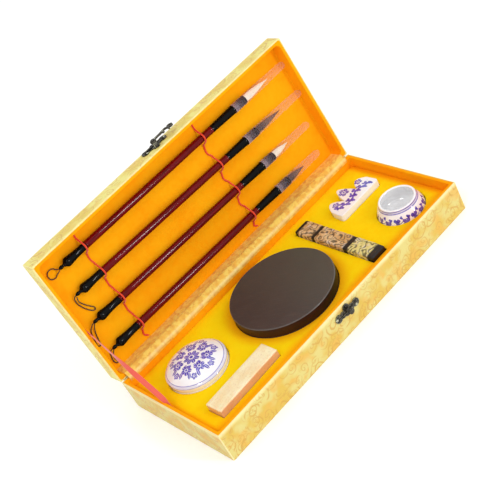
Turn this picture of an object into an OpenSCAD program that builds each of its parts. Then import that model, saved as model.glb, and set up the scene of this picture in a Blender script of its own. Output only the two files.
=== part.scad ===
// Calligraphy set box: a brocade-covered case with a lifting lid, four brushes
// held in the lid by elastic cords, and an ink stone, an ink stick, a seal
// stone, a seal-paste box, a water dish and a brush rest set in the base.
// Origin: centre of the base's footprint, on the surface that it stands on.
// +X runs to the right along the box, +Y to the hinge at the back, +Z up.

/* [Box] */
// Outside length of the box, left to right
box_length = 320; // [300:1:400]
// Outside depth of the box, front to back
box_depth = 140; // [130:1:190]
// Height of the base tray
base_height = 31.5; // [29:0.5:45]
// Height of the lid tray
lid_height = 19; // [18:0.5:30]
// Thickness of the covered walls
wall = 3.5; // [2.5:0.25:5]
// Thickness of the brocade cloth on the boards
cloth = 0.4; // [0.3:0.05:0.8]
// Radius of the box's upright edges
edge_r = 1.2; // [0.8:0.1:3]
// Angle that the lid stands open
open_angle = 98; // [85:1:110]
// Gap between the two rims when the box is shut
rim_gap = 0.3; // [0.2:0.05:0.8]

/* [Lining and insert] */
// Thickness of the velvet lining
lining = 0.6; // [0.4:0.1:1.2]
// Distance from a rim to the edge of its lining
lining_drop = 0.8; // [0.4:0.1:3]
// Depth of the insert's top below the base's rim
insert_drop = 10.5; // [8:0.5:14]
// Gap between the insert and the lining around it
insert_gap = 0.2; // [0.1:0.05:0.6]
// Gap around each thing in its pocket
pocket_gap = 0.4; // [0.3:0.1:1]

/* [Hinge cloth and stay ribbon] */
// Thickness of the hinge cloths
hinge_cloth = 0.5; // [0.3:0.1:0.8]
// Width of the outer hinge cloth on each tray
hinge_lap = 11; // [6:1:16]
// Depth of the inner hinge cloth's edge below the base's rim
hinge_tuck = 3; // [2:0.5:8]
// Distance from each end wall to the inner hinge cloth
hinge_end = 4; // [1:0.5:12]
// Width of the stay ribbon
ribbon_w = 5; // [3:0.5:9]
// Thickness of the stay ribbon
ribbon_t = 0.4; // [0.3:0.1:0.8]
// Distance from the hinge to the ribbon's end on the lid
ribbon_reach = 62; // [45:1:80]
// Distance from the rim to the ribbon's ends
ribbon_tuck = 4; // [3:0.5:6]

/* [Brushes] */
// Diameter of the lacquered handle
handle_d = 7; // [5.5:0.1:9]
// Length of the horn tail behind the handle
tail_length = 32; // [26:0.5:40]
// Largest diameter of the horn tail
tail_d = 9; // [8:0.1:10]
// Length of each horn ferrule
ferrule_length = [45, 41, 44.5, 45]; // [36:0.5:50]
// Diameter of the ferrule's mouth
ferrule_d = 8.6; // [8:0.1:10]
// Length of each tuft
tuft_length = [33, 33, 21, 23]; // [14:0.5:40]
// Diameter of a tuft where it leaves its ferrule
tuft_d = 6.4; // [5:0.1:7]
// Strands drawn in each tuft
strands = 78; // [76:2:120]
// Thickness of a strand at its root
strand_d = 0.44; // [0.3:0.02:0.48]
// Length of ferrule that the cap covers
cap_grip = 15; // [8:0.5:20]
// Thickness of the cap's wall
cap_wall = 0.35; // [0.25:0.05:0.5]
// Gap between the ferrule and its cap
cap_gap = 0.1; // [0.05:0.05:0.3]
// Diameter of the cap near its tip
cap_tip_d = 7.4; // [6.5:0.1:8.5]
// Reach of the first brush's cap past its ferrule
cap_reach = 56; // [45:0.5:65]
// Gap between each cap and the right-hand end of the lid
cap_end = [0.6, 0.6, 11, 17]; // [0.4:0.1:20]
// Gap between each tail and the left-hand end of the lid
tail_end = [17.5, 15.1, 12.5, 11.8]; // [10:0.1:25]
// Angle that each brush lies out of line
skew = [0.8, 1.6, 1.5, 1.1]; // [-2:0.1:2]
// Distance from the hinge to the nearest brush
brush_rear = 22.3; // [18:0.1:30]
// Distance from the lid's free edge to the farthest brush
brush_front = 24.4; // [18:0.1:34]
// Gap between the brushes and the lid's lining
brush_gap = 0.3; // [0.2:0.05:0.8]
// Diameter of the hanging thread
thread_d = 1; // [0.8:0.1:1.2]

/* [Elastic cords] */
// Diameter of the elastic cord
elastic_d = 1.6; // [1.2:0.1:2]
// Gap between the elastic cord and the handle under it
elastic_gap = 0.3; // [0.2:0.05:0.6]
// Distance from the second handle's end to the first row of elastic
elastic_tail = 0.5; // [0:0.5:8]
// Distance from the first handle's other end to the second row
elastic_head = 12; // [6:0.5:20]
// Half the width of a loop of elastic where it meets the lining
elastic_foot = 7.5; // [6:0.5:9]

/* [Ink stone] */
// Diameter of the ink stone
stone_d = 103; // [90:1:108]
// Height of the ink stone without its cover
stone_h = 10; // [9:0.5:14]
// Height of the ink stone's cover
stone_cover_h = 10; // [7:0.5:12]
// Depth of the grinding well
well_depth = 3; // [2:0.5:4]
// Width of the ink stone's rim
stone_rim = 6; // [4:0.5:10]
// Depth of the hollow under the cover
cover_hollow = 3; // [2:0.5:4]
// Chamfer on the edges of the stone
stone_chamfer = 0.8; // [0.4:0.1:2]
// Place of the stone's centre from the middle of the box
stone_at = [-8, 3]; // [-10:0.5:5]

/* [Seal-paste box] */
// Diameter of the seal-paste box
paste_d = 60; // [50:1:66]
// Height of its bottom half
paste_bottom_h = 12; // [10:0.5:14]
// Height of its lid at the rim
paste_lid_side = 5; // [4:0.5:7]
// Rise of the lid's dome
paste_dome = 8.5; // [6:0.5:9]
// Thickness of its porcelain
paste_wall = 2.6; // [2:0.1:3.5]
// Height of the seal paste in it
paste_fill = 3.5; // [2:0.5:5]
// Height of the lip that centres its lid
paste_lip = 1.8; // [1:0.1:2.5]
// Place of its centre from the left and rear walls
paste_at = [47.5, 45.5]; // [40:0.5:52]

/* [Seal stone] */
// Length of the seal stone
seal_length = 74; // [60:1:80]
// Width and height of the seal stone
seal_w = 20; // [16:0.5:22]
// Bevel on the seal stone's edges
seal_bevel = 0.7; // [0.3:0.1:2]
// Height that the seal stone stands out of its pocket
seal_out = 7.5; // [6:0.5:10]
// Place of its centre from the left and front walls
seal_at = [54.5, 29.5]; // [24:0.5:56]
// Angle that the seal stone lies out of line
seal_turn = 1.5; // [-3:0.5:3]

/* [Water dish] */
// Diameter of the water dish at its belly
dish_d = 47; // [40:0.5:52]
// Diameter of its opening's outer edge
dish_mouth_d = 36.5; // [32:0.5:40]
// Diameter of its foot
dish_foot_d = 28; // [24:0.5:32]
// Height of the water dish
dish_h = 24; // [20:0.5:27]
// Thickness of its porcelain
dish_wall = 2.2; // [1.8:0.1:3]
// Height that the dish stands out of its pocket
dish_out = 12; // [10:0.5:14]
// Place of its centre from the right and front walls
dish_at = [33.5, 37.5]; // [30:0.5:40]

/* [Ink stick] */
// Length of the ink stick
ink_length = 105; // [90:1:112]
// Width of the ink stick
ink_w = 18; // [14:0.5:20]
// Thickness of the ink stick
ink_t = 10; // [8:0.5:12]
// Bevel along the ink stick's edges
ink_bevel = 2.4; // [1:0.1:3]
// Height of the moulded panels on the ink stick
ink_relief = 0.5; // [0.3:0.1:1]
// Height that the ink stick stands out of its pocket
ink_out = 5; // [4:0.5:6]
// Distance from the right-hand wall to the ink stick's middle
ink_at = 91; // [86:0.5:94]

/* [Brush rest] */
// Length of the brush rest's foot
rest_length = 54; // [46:1:60]
// Height of its tallest peak
rest_peak = 32; // [28:0.5:36]
// Depth of the foot below the hollows that hold the brushes
rest_foot = 13; // [11:0.5:15]
// Thickness of the brush rest
rest_t = 9; // [7:0.5:11]
// Rounding of its edges
rest_round = 2.5; // [1.5:0.1:3]
// Height that the brush rest stands out of its pocket
rest_out = 6.5; // [5:0.5:8]
// Place of the foot's middle from the right and rear walls
rest_at = [40.5, 51.5]; // [36:0.5:54]

/* [Latch] */
// Distance between the outer lobes of a latch plate
plate_span = 22; // [18:0.5:26]
// Thickness of the latch plates
plate_t = 1; // [0.6:0.1:1.2]
// Distance of the hook's pivot from the lid's rim
pivot_rise = 8.5; // [7.5:0.5:10]
// Distance of the catch knob below the base's rim
knob_drop = 7.5; // [6:0.5:9]
// Radius of the catch knob's stem
knob_r = 1.6; // [1.2:0.1:2]
// Radius of the hook's pivot rivet
rivet_r = 1.1; // [0.8:0.05:1.4]
// Running gap of the hook on its rivet
rivet_gap = 0.08; // [0.05:0.01:0.1]
// Thickness of the hook
hook_t = 1.6; // [1.2:0.1:2]
// Width of the hook's arm
hook_w = 2.2; // [1.6:0.1:3]
// Gap between the hook and the faces beside it
hook_gap = 0.2; // [0.1:0.05:0.4]

/* [Hidden] */
$fn = 96;

// Trays
half_l = box_length / 2;
half_d = box_depth / 2;
inner_l = box_length - 2 * wall;
inner_d = box_depth - 2 * wall;
hinge_z = base_height + rim_gap / 2;
lid_rim = rim_gap / 2;
lid_top = lid_rim + lid_height;
lid_floor = lid_top - wall;
lid_velvet = lid_floor - lining;
insert_z = base_height - insert_drop;
cloth_seat = 0.12;
rows = 4;

// Brushes, measured along the box from its middle
brush_pitch = (box_depth - brush_rear - brush_front) / (rows - 1);
handle_length = inner_l - tail_end[0] - tail_length - ferrule_length[0] - cap_reach - cap_end[0];
cap_mouth_r = ferrule_d / 2 + cap_gap;
tuft_root = 4;
strand_set = 0.5;
brush_h = lid_velvet - brush_gap - max(tail_d / 2, cap_mouth_r + cap_wall);
function brush_v(i) = box_depth - brush_front - i * brush_pitch;
function tail_x(i) = -inner_l / 2 + tail_end[i];
function handle_x(i) = tail_x(i) + tail_length;
function ferrule_x(i) = handle_x(i) + handle_length;
function tuft_x(i) = ferrule_x(i) + ferrule_length[i];
function cap_x(i) = inner_l / 2 - cap_end[i];

// Elastic rows
elastic_r = elastic_d / 2;
elastic_h = lid_velvet - elastic_r;
elastic_x = [handle_x(1) + elastic_tail, ferrule_x(0) - elastic_head];
elastic_drift = [-2, -6];

// Things in the base
left_x = -inner_l / 2;
right_x = inner_l / 2;
front_y = -inner_d / 2;
rear_y = inner_d / 2;
stone_z = insert_z - stone_h;
paste_z = insert_z + 0.5 - paste_bottom_h;
seal_z = insert_z + seal_out - seal_w;
dish_z = insert_z + dish_out - dish_h;
ink_z = insert_z + ink_out - ink_t;
rest_z = insert_z + rest_out - rest_t;
paste_xy = [left_x + paste_at[0], rear_y - paste_at[1]];
seal_xy = [left_x + seal_at[0], front_y + seal_at[1]];
dish_xy = [right_x - dish_at[0], front_y + dish_at[1]];
rest_xy = [right_x - rest_at[0], rear_y - rest_at[1]];
ink_x = right_x - ink_at;
lip_ring = 2.5;
lip_h = 1.5;

// Latch
boss_t = 4;
hook_y = plate_t + boss_t + hook_gap;
head_y = hook_y + hook_t + hook_gap;
knob_z = base_height - knob_drop;
hook_reach = hinge_z + lid_rim + pivot_rise - knob_z;
plate_lobe = 4;
plate_rise = 4;
claw_r = knob_r + 0.7;
claw_w = 2;
nail_r = 0.6;
nail_head_r = 1.1;
finger_r = 3.1;
finger_wall = 1.5;

// Hanging threads: steps from the tip of each tail, along the box and down the lid
thread_ring = [[0, 0], [-1.5, 0.4], [-4, 3.2], [-8.5, 3.6], [-11, 0.5], [-10, -4], [-6, -5.6], [-2.4, -3.6], [-0.4, -1.4]];
thread_drop_2 = [[0, 0], [-2.4, -2.5], [-2.8, -8], [-1.2, -14], [1.8, -20], [5, -24], [7.4, -24.6],
    [7.6, -22], [4.6, -18], [1.2, -12.5], [-0.9, -7], [-0.4, -1.8]];
thread_drop_3 = [[0, 0], [-3.4, -3], [-6.2, -8], [-7.8, -15], [-8.4, -21], [-7.2, -22.6],
    [-5.4, -18.5], [-3.6, -12], [-1.8, -6], [0.2, -1.4]];
thread_drop_4 = [[0, 0], [-2.2, -2], [-4.2, -6.5], [-5.2, -12], [-3.6, -15.6], [-1.6, -14.8],
    [-2.6, -11], [-1.6, -6], [0.3, -1.4]];
thread_gap = thread_d / 2 + 0.25;
thread_routes = [thread_ring, thread_drop_2, thread_drop_3, thread_drop_4];

// Colours
brocade_gold = [0.91, 0.82, 0.45];
velvet_orange = [1, 0.62, 0.03];
velvet_yellow = [1, 0.79, 0.03];
board_grey = [0.72, 0.66, 0.55];
bronze = [0.33, 0.27, 0.17];
lacquer_red = [0.33, 0.03, 0.07];
horn_black = [0.06, 0.06, 0.07];
hair_white = [0.93, 0.9, 0.8];
hair_brown = [0.45, 0.31, 0.24];
cap_clear = [0.95, 0.78, 0.7, 0.45];
thread_black = [0.12, 0.06, 0.05];
cord_red = [0.88, 0.16, 0.1];
ribbon_red = [0.89, 0.36, 0.27];
stone_dark = [0.27, 0.24, 0.23];
porcelain = [0.94, 0.94, 0.97];
paste_red = [0.72, 0.1, 0.07];
seal_cream = [0.87, 0.72, 0.5];
ink_gold = [0.72, 0.56, 0.3];

// A smooth line through a few chosen points
function bend(a, b, c, d, t) =
    0.5 * (2 * b + (c - a) * t + (2 * a - 5 * b + 4 * c - d) * t * t + (3 * b - a - 3 * c + d) * t * t * t);
function smooth(p, n) = concat(
    [for (i = [0 : len(p) - 2], k = [0 : n - 1])
        bend(p[max(i - 1, 0)], p[i], p[i + 1], p[min(i + 2, len(p) - 1)], k / n)],
    [p[len(p) - 1]]);
function unit(v) = v / norm(v);
function along(p, i) = unit(p[min(i + 1, len(p) - 1)] - p[max(i - 1, 0)]);
function left_of(v) = [-v[1], v[0]];

// A band of constant thickness that follows a flat line
function band(p, t) = concat(
    [for (i = [0 : len(p) - 1]) p[i] + left_of(along(p, i)) * t / 2],
    [for (i = [len(p) - 1 : -1 : 0]) p[i] - left_of(along(p, i)) * t / 2]);

// A round tube of n sides along a line in space; up is a direction that the line never takes
module tube(p, r, n, up) {
    rings = [for (i = [0 : len(p) - 1])
        let (t = along(p, i), a = unit(cross(up, t)), b = cross(t, a))
        for (k = [0 : n - 1]) p[i] + r * (cos(360 * k / n) * a + sin(360 * k / n) * b)];
    last = n * (len(p) - 1);
    sides = [for (i = [0 : len(p) - 2], k = [0 : n - 1])
        let (a = i * n + k, b = i * n + (k + 1) % n)
        for (f = [[a, a + n, b], [b, a + n, b + n]]) f];
    polyhedron(rings, concat(sides, [[for (k = [0 : n - 1]) k]], [[for (k = [n - 1 : -1 : 0]) last + k]]));
}

module round_rect(l, w, r) {
    square([l - 2 * r, w], center = true);
    square([l, w - 2 * r], center = true);
    for (x = [-1, 1], y = [-1, 1]) {
        translate([x * (l / 2 - r), y * (w / 2 - r)]) circle(r);
    }
}

// A block with the same bevel on all twelve edges, standing on z = 0
module bevelled_block(l, w, h, c) {
    intersection() {
        linear_extrude(h) bevelled_rect(l, w, c);
        translate([-l / 2, 0, h / 2]) rotate([90, 0, 90]) linear_extrude(l) bevelled_rect(w, h, c);
        translate([0, w / 2, h / 2]) rotate([90, 0, 0]) linear_extrude(w) bevelled_rect(l, h, c);
    }
}

module bevelled_rect(l, w, c) {
    polygon([[c - l / 2, -w / 2], [l / 2 - c, -w / 2], [l / 2, c - w / 2], [l / 2, w / 2 - c],
        [l / 2 - c, w / 2], [c - l / 2, w / 2], [-l / 2, w / 2 - c], [-l / 2, c - w / 2]]);
}

// Places
module on_lid() {
    translate([0, half_d, hinge_z]) rotate([-open_angle, 0, 0]) children();
}

// A brush lies along the box; its own z axis becomes the box's length
module on_brush(i) {
    on_lid() translate([0, -brush_v(i), brush_h]) rotate([0, 0, skew[i]]) rotate([0, 90, 0]) children();
}

module on_front_wall(depth, z) {
    translate([0, -depth, z]) rotate([90, 0, 0]) children();
}

// A flat figure in depth and height, drawn out to the box's length
module across(l) {
    translate([-l / 2, 0, 0]) rotate([90, 0, 90]) linear_extrude(l) children();
}

// Base
module base_board() {
    color(board_grey) difference() {
        linear_extrude(base_height - cloth) square([box_length - 2 * cloth, box_depth - 2 * cloth], center = true);
        translate([0, 0, wall]) linear_extrude(base_height) square([inner_l, inner_d], center = true);
    }
}

module base_brocade() {
    color(brocade_gold) difference() {
        linear_extrude(base_height) round_rect(box_length, box_depth, edge_r);
        translate([0, 0, -1]) linear_extrude(base_height + 1 - cloth)
            square([box_length - 2 * cloth, box_depth - 2 * cloth], center = true);
        translate([0, 0, -1]) linear_extrude(base_height + 2) square([inner_l, inner_d], center = true);
    }
}

module base_lining() {
    color(velvet_orange) translate([0, 0, wall]) linear_extrude(base_height - wall - lining_drop) difference() {
        square([inner_l, inner_d], center = true);
        square([inner_l - 2 * lining, inner_d - 2 * lining], center = true);
    }
}

module insert() {
    side = 2 * (lining + insert_gap);
    color(velvet_yellow) difference() {
        translate([0, 0, wall]) linear_extrude(insert_z - wall) square([inner_l - side, inner_d - side], center = true);
        pocket(stone_at, stone_z) circle(stone_d / 2 + pocket_gap);
        pocket(paste_xy, paste_z) circle(paste_d / 2 + pocket_gap);
        pocket(dish_xy, dish_z) circle(dish_d / 2 + pocket_gap);
        pocket(seal_xy, seal_z) rotate(seal_turn)
            square([seal_length + 2 * pocket_gap, seal_w + 2 * pocket_gap], center = true);
        pocket([ink_x, 0], ink_z) square([ink_w + 2 * pocket_gap, ink_length + 2 * pocket_gap], center = true);
        pocket(rest_xy, rest_z) polygon(rest_outline(-pocket_gap));
    }
}

module pocket(at, z) {
    translate([at[0], at[1], z]) linear_extrude(base_height) children();
}

// Latch on the base's front
module catch_plate() {
    color(bronze) on_front_wall(half_d, knob_z - plate_rise / 2) difference() {
        linear_extrude(plate_t) cloud_plate();
        nail_places() translate([0, 0, -1]) cylinder(r = nail_r, h = plate_t + 2);
    }
}

// Three lobes and a crown, joined by a narrow bar
module cloud_plate() {
    square([plate_span, plate_lobe * 1.3], center = true);
    circle(plate_lobe + 1);
    for (x = [-1, 1]) {
        translate([x * plate_span / 2, 0]) circle(plate_lobe);
        translate([x * plate_span / 4, 0]) circle(plate_lobe * 0.85);
    }
    translate([0, plate_rise]) circle(plate_lobe - 0.4);
}

module nail_places() {
    for (x = [-1, 1]) {
        translate([x * plate_span / 2, 0, 0]) children();
    }
}

module nails() {
    nail_places() {
        cylinder(r = nail_r - 0.02, h = plate_t);
        translate([0, 0, plate_t]) rotate_extrude() intersection() {
            translate([0, -0.9]) circle(1.5);
            square([nail_head_r, 2]);
        }
    }
}

module catch_knob() {
    color(bronze) on_front_wall(half_d + plate_t, knob_z) {
        cylinder(r = knob_r + 0.9, h = boss_t - 0.6);
        cylinder(r = knob_r, h = head_y);
        translate([0, 0, head_y - plate_t]) rotate_extrude()
            polygon(concat([[0, 0]], smooth([[knob_r + 1.1, 0], [knob_r + 1.2, 0.6], [knob_r, 1.3], [0, 1.6]], 5)));
    }
}

module catch_nails() {
    color(bronze) on_front_wall(half_d, knob_z - plate_rise / 2) nails();
}

// Cloths and ribbon that bend when the lid moves
module inner_hinge_cloth() {
    off = hinge_cloth / 2 + cloth_seat;
    seat = wall + lining + off;
    lid_line = [for (h = [lid_velvet - 0.6, lid_velvet * 0.6, 5, 2.6]) lid_point(seat, h)];
    crest = [lid_point(seat + 0.5, 0.4), [rear_y + 0.9, base_height + 2.9], [rear_y - 0.9, base_height + 0.7]];
    base_line = [[rear_y - lining - off, base_height - 1.4], [rear_y - lining - off, base_height - hinge_tuck]];
    color(brocade_gold) across(inner_l - 2 * hinge_end)
        polygon(band(smooth(concat(lid_line, crest, base_line), 4), hinge_cloth));
}

// A point of the lid, given by its distance from the hinge and from the rim, as depth and height
function lid_point(v, h) = [
    half_d - v * cos(open_angle) + h * sin(open_angle),
    hinge_z + v * sin(open_angle) + h * cos(open_angle)];

module outer_hinge_cloth() {
    off = hinge_cloth / 2 + cloth_seat;
    base_line = [for (d = [hinge_lap, 4.5, 2.4, 1.3]) [half_d + off, base_height - d]];
    lid_line = [for (h = [1.3, 2.4, 4.5, hinge_lap]) lid_point(-off, lid_rim + h)];
    color(brocade_gold) across(inner_l) polygon(band(smooth(concat(base_line, lid_line), 4), hinge_cloth));
}

module stay_ribbon() {
    a = [0, base_height - ribbon_tuck];
    b = lid_point(ribbon_reach, lid_rim + ribbon_tuck);
    x = left_x + lining + ribbon_t;
    run = b - a;
    color(ribbon_red) translate([x, a[0], a[1]]) rotate([atan2(run[1], run[0]), 0, 0])
        translate([-ribbon_t / 2, 0, -ribbon_w / 2]) cube([ribbon_t, norm(run), ribbon_w]);
}

// Lid, drawn shut with the hinge line at the origin
module lid_board() {
    color(board_grey) on_lid() translate([0, -half_d, lid_rim]) difference() {
        translate([0, 0, cloth]) linear_extrude(lid_height - 2 * cloth)
            square([box_length - 2 * cloth, box_depth - 2 * cloth], center = true);
        translate([0, 0, -1]) linear_extrude(lid_height + 1 - wall) square([inner_l, inner_d], center = true);
    }
}

module lid_brocade() {
    color(brocade_gold) on_lid() translate([0, -half_d, lid_rim]) difference() {
        linear_extrude(lid_height) round_rect(box_length, box_depth, edge_r);
        translate([0, 0, cloth]) linear_extrude(lid_height - 2 * cloth)
            square([box_length - 2 * cloth, box_depth - 2 * cloth], center = true);
        translate([0, 0, -1]) linear_extrude(2) square([inner_l, inner_d], center = true);
    }
}

module lid_lining() {
    color(velvet_orange) on_lid() translate([0, -half_d, lid_rim + lining_drop]) difference() {
        linear_extrude(lid_height - wall - lining_drop) square([inner_l, inner_d], center = true);
        translate([0, 0, -1]) linear_extrude(lid_height - wall - lining_drop - lining + 1)
            square([inner_l - 2 * lining, inner_d - 2 * lining], center = true);
    }
}

// Latch on the lid's free edge
module hasp_plate() {
    color(bronze) on_lid() on_front_wall(box_depth, lid_rim + pivot_rise + plate_rise) difference() {
        union() {
            linear_extrude(plate_t) mirror([0, 1, 0]) cloud_plate();
            translate([0, -plate_rise, 0]) cylinder(r = rivet_r + 1.3, h = plate_t + boss_t);
        }
        nail_places() translate([0, 0, -1]) cylinder(r = nail_r, h = plate_t + 2);
    }
}

module hasp_nails() {
    color(bronze) on_lid() on_front_wall(box_depth, lid_rim + pivot_rise + plate_rise) nails();
}

module hook_rivet() {
    color(bronze) on_lid() on_front_wall(box_depth + plate_t + boss_t, lid_rim + pivot_rise) {
        cylinder(r = rivet_r, h = hook_t + 2 * hook_gap);
        translate([0, 0, hook_t + 2 * hook_gap]) cylinder(r = rivet_r + 0.9, h = 0.8);
    }
}

// Horn-shaped hook: an eye, a curved arm, a claw for the knob and a curled finger end
module hasp_hook() {
    finger_at = hook_reach + claw_r + claw_w + finger_r - 1.2;
    arm = smooth([[1, 0.4], [hook_reach * 0.3, 1.9], [hook_reach * 0.65, 2], [hook_reach - 1, 3.2]], 5);
    color(bronze) on_lid() on_front_wall(box_depth + hook_y, lid_rim + pivot_rise) linear_extrude(hook_t) difference() {
        union() {
            circle(rivet_r + 1.9);
            polygon(band(arm, hook_w));
            difference() {
                translate([hook_reach, 0]) circle(claw_r + claw_w);
                translate([hook_reach - 2 * claw_r, -4 * claw_r]) square([2 * claw_r + claw_r * 0.9, 4 * claw_r - 1]);
            }
            translate([finger_at, 1.2]) circle(finger_r);
        }
        circle(rivet_r + rivet_gap);
        translate([hook_reach, 0]) circle(claw_r);
        translate([finger_at, 1.2]) circle(finger_r - finger_wall);
    }
}

// Elastic cord: it crosses each handle in a tight loop and lies loose on the lining between them
function loop_route(i, row) =
    let (x = elastic_x[row], v = row_v(i, row), r = handle_d / 2 + elastic_gap + elastic_r, lean = 62)
    concat(
        [for (d = [0, 0.5, 1.4]) [x, -v - elastic_foot + d, elastic_h - 0.4 * d * (d - 0.5)]],
        [for (a = [-lean : lean / 4 : lean]) [x, -v + r * sin(a), brush_h - r * cos(a)]],
        [for (d = [1.4, 0.5, 0]) [x, -v + elastic_foot - d, elastic_h - 0.4 * d * (d - 0.5)]]);

// Straight at both ends, drawn aside by drift in the middle
sway = [0, 0, 0.4, 0.85, 1, 0.85, 0.4, 0, 0];
function run_route(v_from, v_to, x, drift) =
    [for (k = [0 : 8]) [x + drift * sway[k], -v_from + (v_from - v_to) * k / 8, elastic_h]];

function row_v(i, row) = brush_v(i) - elastic_x[row] * sin(skew[i]);

module elastic_runs() {
    free_v = box_depth - wall - lining - elastic_r;
    hinge_v = wall + lining + hinge_cloth + 2;
    color(cord_red) on_lid() for (row = [0, 1]) {
        tube(run_route(free_v, row_v(0, row) + elastic_foot, elastic_x[row], 0), elastic_r, 8, [1, 0, 0]);
        for (i = [0 : rows - 2]) {
            tube(run_route(row_v(i, row) - elastic_foot, row_v(i + 1, row) + elastic_foot, elastic_x[row],
                elastic_drift[row]), elastic_r, 8, [1, 0, 0]);
        }
        tube(run_route(row_v(rows - 1, row) - elastic_foot, hinge_v, elastic_x[row], -3), elastic_r, 8, [1, 0, 0]);
    }
}

module elastic_loops() {
    color(cord_red) on_lid() for (row = [0, 1], i = [0 : rows - 1]) {
        tube(loop_route(i, row), elastic_r, 8, [1, 0, 0]);
    }
}

// Brushes
module brush_handle(i) {
    color(lacquer_red) on_brush(i) translate([0, 0, handle_x(i)]) cylinder(d = handle_d, h = handle_length);
}

// Horn tail: swells to a shoulder, then a neck and a small bead that the thread hangs from
module brush_tail(i) {
    l = tail_length;
    r = tail_d / 2;
    outline = smooth([[handle_d / 2, 0], [handle_d / 2, -l * 0.25], [handle_d / 2 + 0.3, -l * 0.45], [r, -l * 0.66],
        [r * 0.93, -l * 0.73], [r * 0.5, -l * 0.8], [1.4, -l * 0.85], [1.75, -l * 0.9], [1.5, -l * 0.96], [0.5, -l]], 4);
    color(horn_black) on_brush(i) translate([0, 0, handle_x(i)]) rotate_extrude()
        polygon(concat([[0, 0]], outline, [[0, -l]]));
}

// Horn ferrule: flares from the handle to its mouth, which holds the tuft in a shallow socket
module brush_ferrule(i) {
    l = ferrule_length[i];
    r = ferrule_d / 2;
    outline = smooth([[handle_d / 2, 0], [handle_d / 2 + 0.1, l * 0.12], [r - 0.15, l - cap_grip - 2],
        [r, l - cap_grip], [r, l - 1.2], [r - 0.5, l - 0.1]], 5);
    color(horn_black) on_brush(i) translate([0, 0, ferrule_x(i)]) rotate_extrude()
        polygon(concat([[0, 0]], outline, [[tuft_d / 2, l], [tuft_d / 2, l - tuft_root], [0, l - tuft_root]]));
}

// Tuft: starched hairs set in a glued root, all drawn in by the same taper so that none meets another
strand_taper = [[0, 1], [0.42, 0.92], [0.74, 0.56], [0.9, 0.28], [1, 0.1]];
module strand(k, t) {
    share = sqrt((k + 0.5) / strands);
    turn = 137.508 * k;
    last = share > 0.88 ? 2 : share > 0.7 ? 3 : 4;
    at = share * (tuft_d / 2 - strand_d / 2) * [cos(turn), sin(turn)];
    rings = [for (j = [0 : last - 1], a = [0 : 120 : 240])
        let (q = strand_taper[j][1] * (at + strand_d / 2 * [cos(turn + a), sin(turn + a)]))
        [q[0], q[1], j == 0 ? -strand_set : strand_taper[j][0] * t]];
    point = strand_taper[last][1] * at;
    sides = [for (j = [0 : last - 2], i = [0 : 2])
        let (a = 3 * j + i, b = 3 * j + (i + 1) % 3)
        for (f = [[a, a + 3, b], [b, a + 3, b + 3]]) f];
    tip = [for (i = [0 : 2]) [3 * last - 3 + i, 3 * last, 3 * last - 3 + (i + 1) % 3]];
    polyhedron(concat(rings, [[point[0], point[1], strand_taper[last][0] * t]]), concat(sides, tip, [[0, 1, 2]]));
}

module brush_tuft(i) {
    color(i % 2 == 0 ? hair_white : hair_brown) on_brush(i) translate([0, 0, tuft_x(i)]) {
        translate([0, 0, -tuft_root]) cylinder(d = tuft_d, h = tuft_root);
        for (k = [0 : strands - 1]) strand(k, tuft_length[i]);
    }
}

// Clear cap: a thin tube with a rounded closed end
module brush_cap(i) {
    l = cap_x(i) - tuft_x(i) + cap_grip;
    mouth = cap_mouth_r;
    tip = cap_tip_d / 2 - cap_wall;
    inside = [[mouth, 0], [mouth, cap_grip * 0.8], [tip, l - 5]];
    cap_end_in = [for (a = [0 : 15 : 90]) [tip * cos(a), l - 5 + (5 - cap_wall) * sin(a)]];
    cap_end_out = [for (a = [90 : -15 : 0]) [(tip + cap_wall) * cos(a), l - 5 + 5 * sin(a)]];
    outside = [[mouth + cap_wall, cap_grip * 0.8], [mouth + cap_wall, 0]];
    color(cap_clear) on_brush(i) translate([0, 0, tuft_x(i) - cap_grip]) rotate_extrude()
        polygon(concat(inside, cap_end_in, cap_end_out, outside));
}

module brush_thread(i) {
    route = smooth([for (q = thread_routes[i]) [q[0], -q[1], 0]], 3);
    bead = [tail_x(i) * cos(skew[i]), tail_x(i) * sin(skew[i]) - brush_v(i), brush_h];
    drop = lid_velvet - thread_d - brush_h;
    color(thread_black) on_lid() translate(bead)
        tube([for (k = [0 : len(route) - 1])
            let (s = sin(180 * k / (len(route) - 1)))
            [route[k][0] - thread_gap, route[k][1], drop * min(1, 2 * s)]], thread_d / 2, 8, [0, 0, 1]);
}

// Ink stone and its cover
module ink_stone() {
    r = stone_d / 2;
    well_r = r - stone_rim;
    color(stone_dark) translate([stone_at[0], stone_at[1], stone_z]) rotate_extrude(convexity = 4) polygon([
        [0, 0], [r - stone_chamfer, 0], [r, stone_chamfer], [r, stone_h],
        [well_r + lip_ring, stone_h], [well_r + lip_ring - 0.4, stone_h + lip_h], [well_r, stone_h + lip_h],
        [well_r - 1, stone_h - well_depth], [0, stone_h - well_depth + 0.6]]);
}

module ink_stone_cover() {
    r = stone_d / 2;
    h = stone_cover_h;
    hollow_r = r - stone_rim + lip_ring + pocket_gap;
    color(stone_dark) translate([stone_at[0], stone_at[1], stone_z + stone_h]) rotate_extrude(convexity = 4) polygon([
        [0, cover_hollow], [hollow_r - 0.4, cover_hollow], [hollow_r, 0], [r, 0],
        [r, h - stone_chamfer], [r - stone_chamfer, h], [0, h]]);
}

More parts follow.
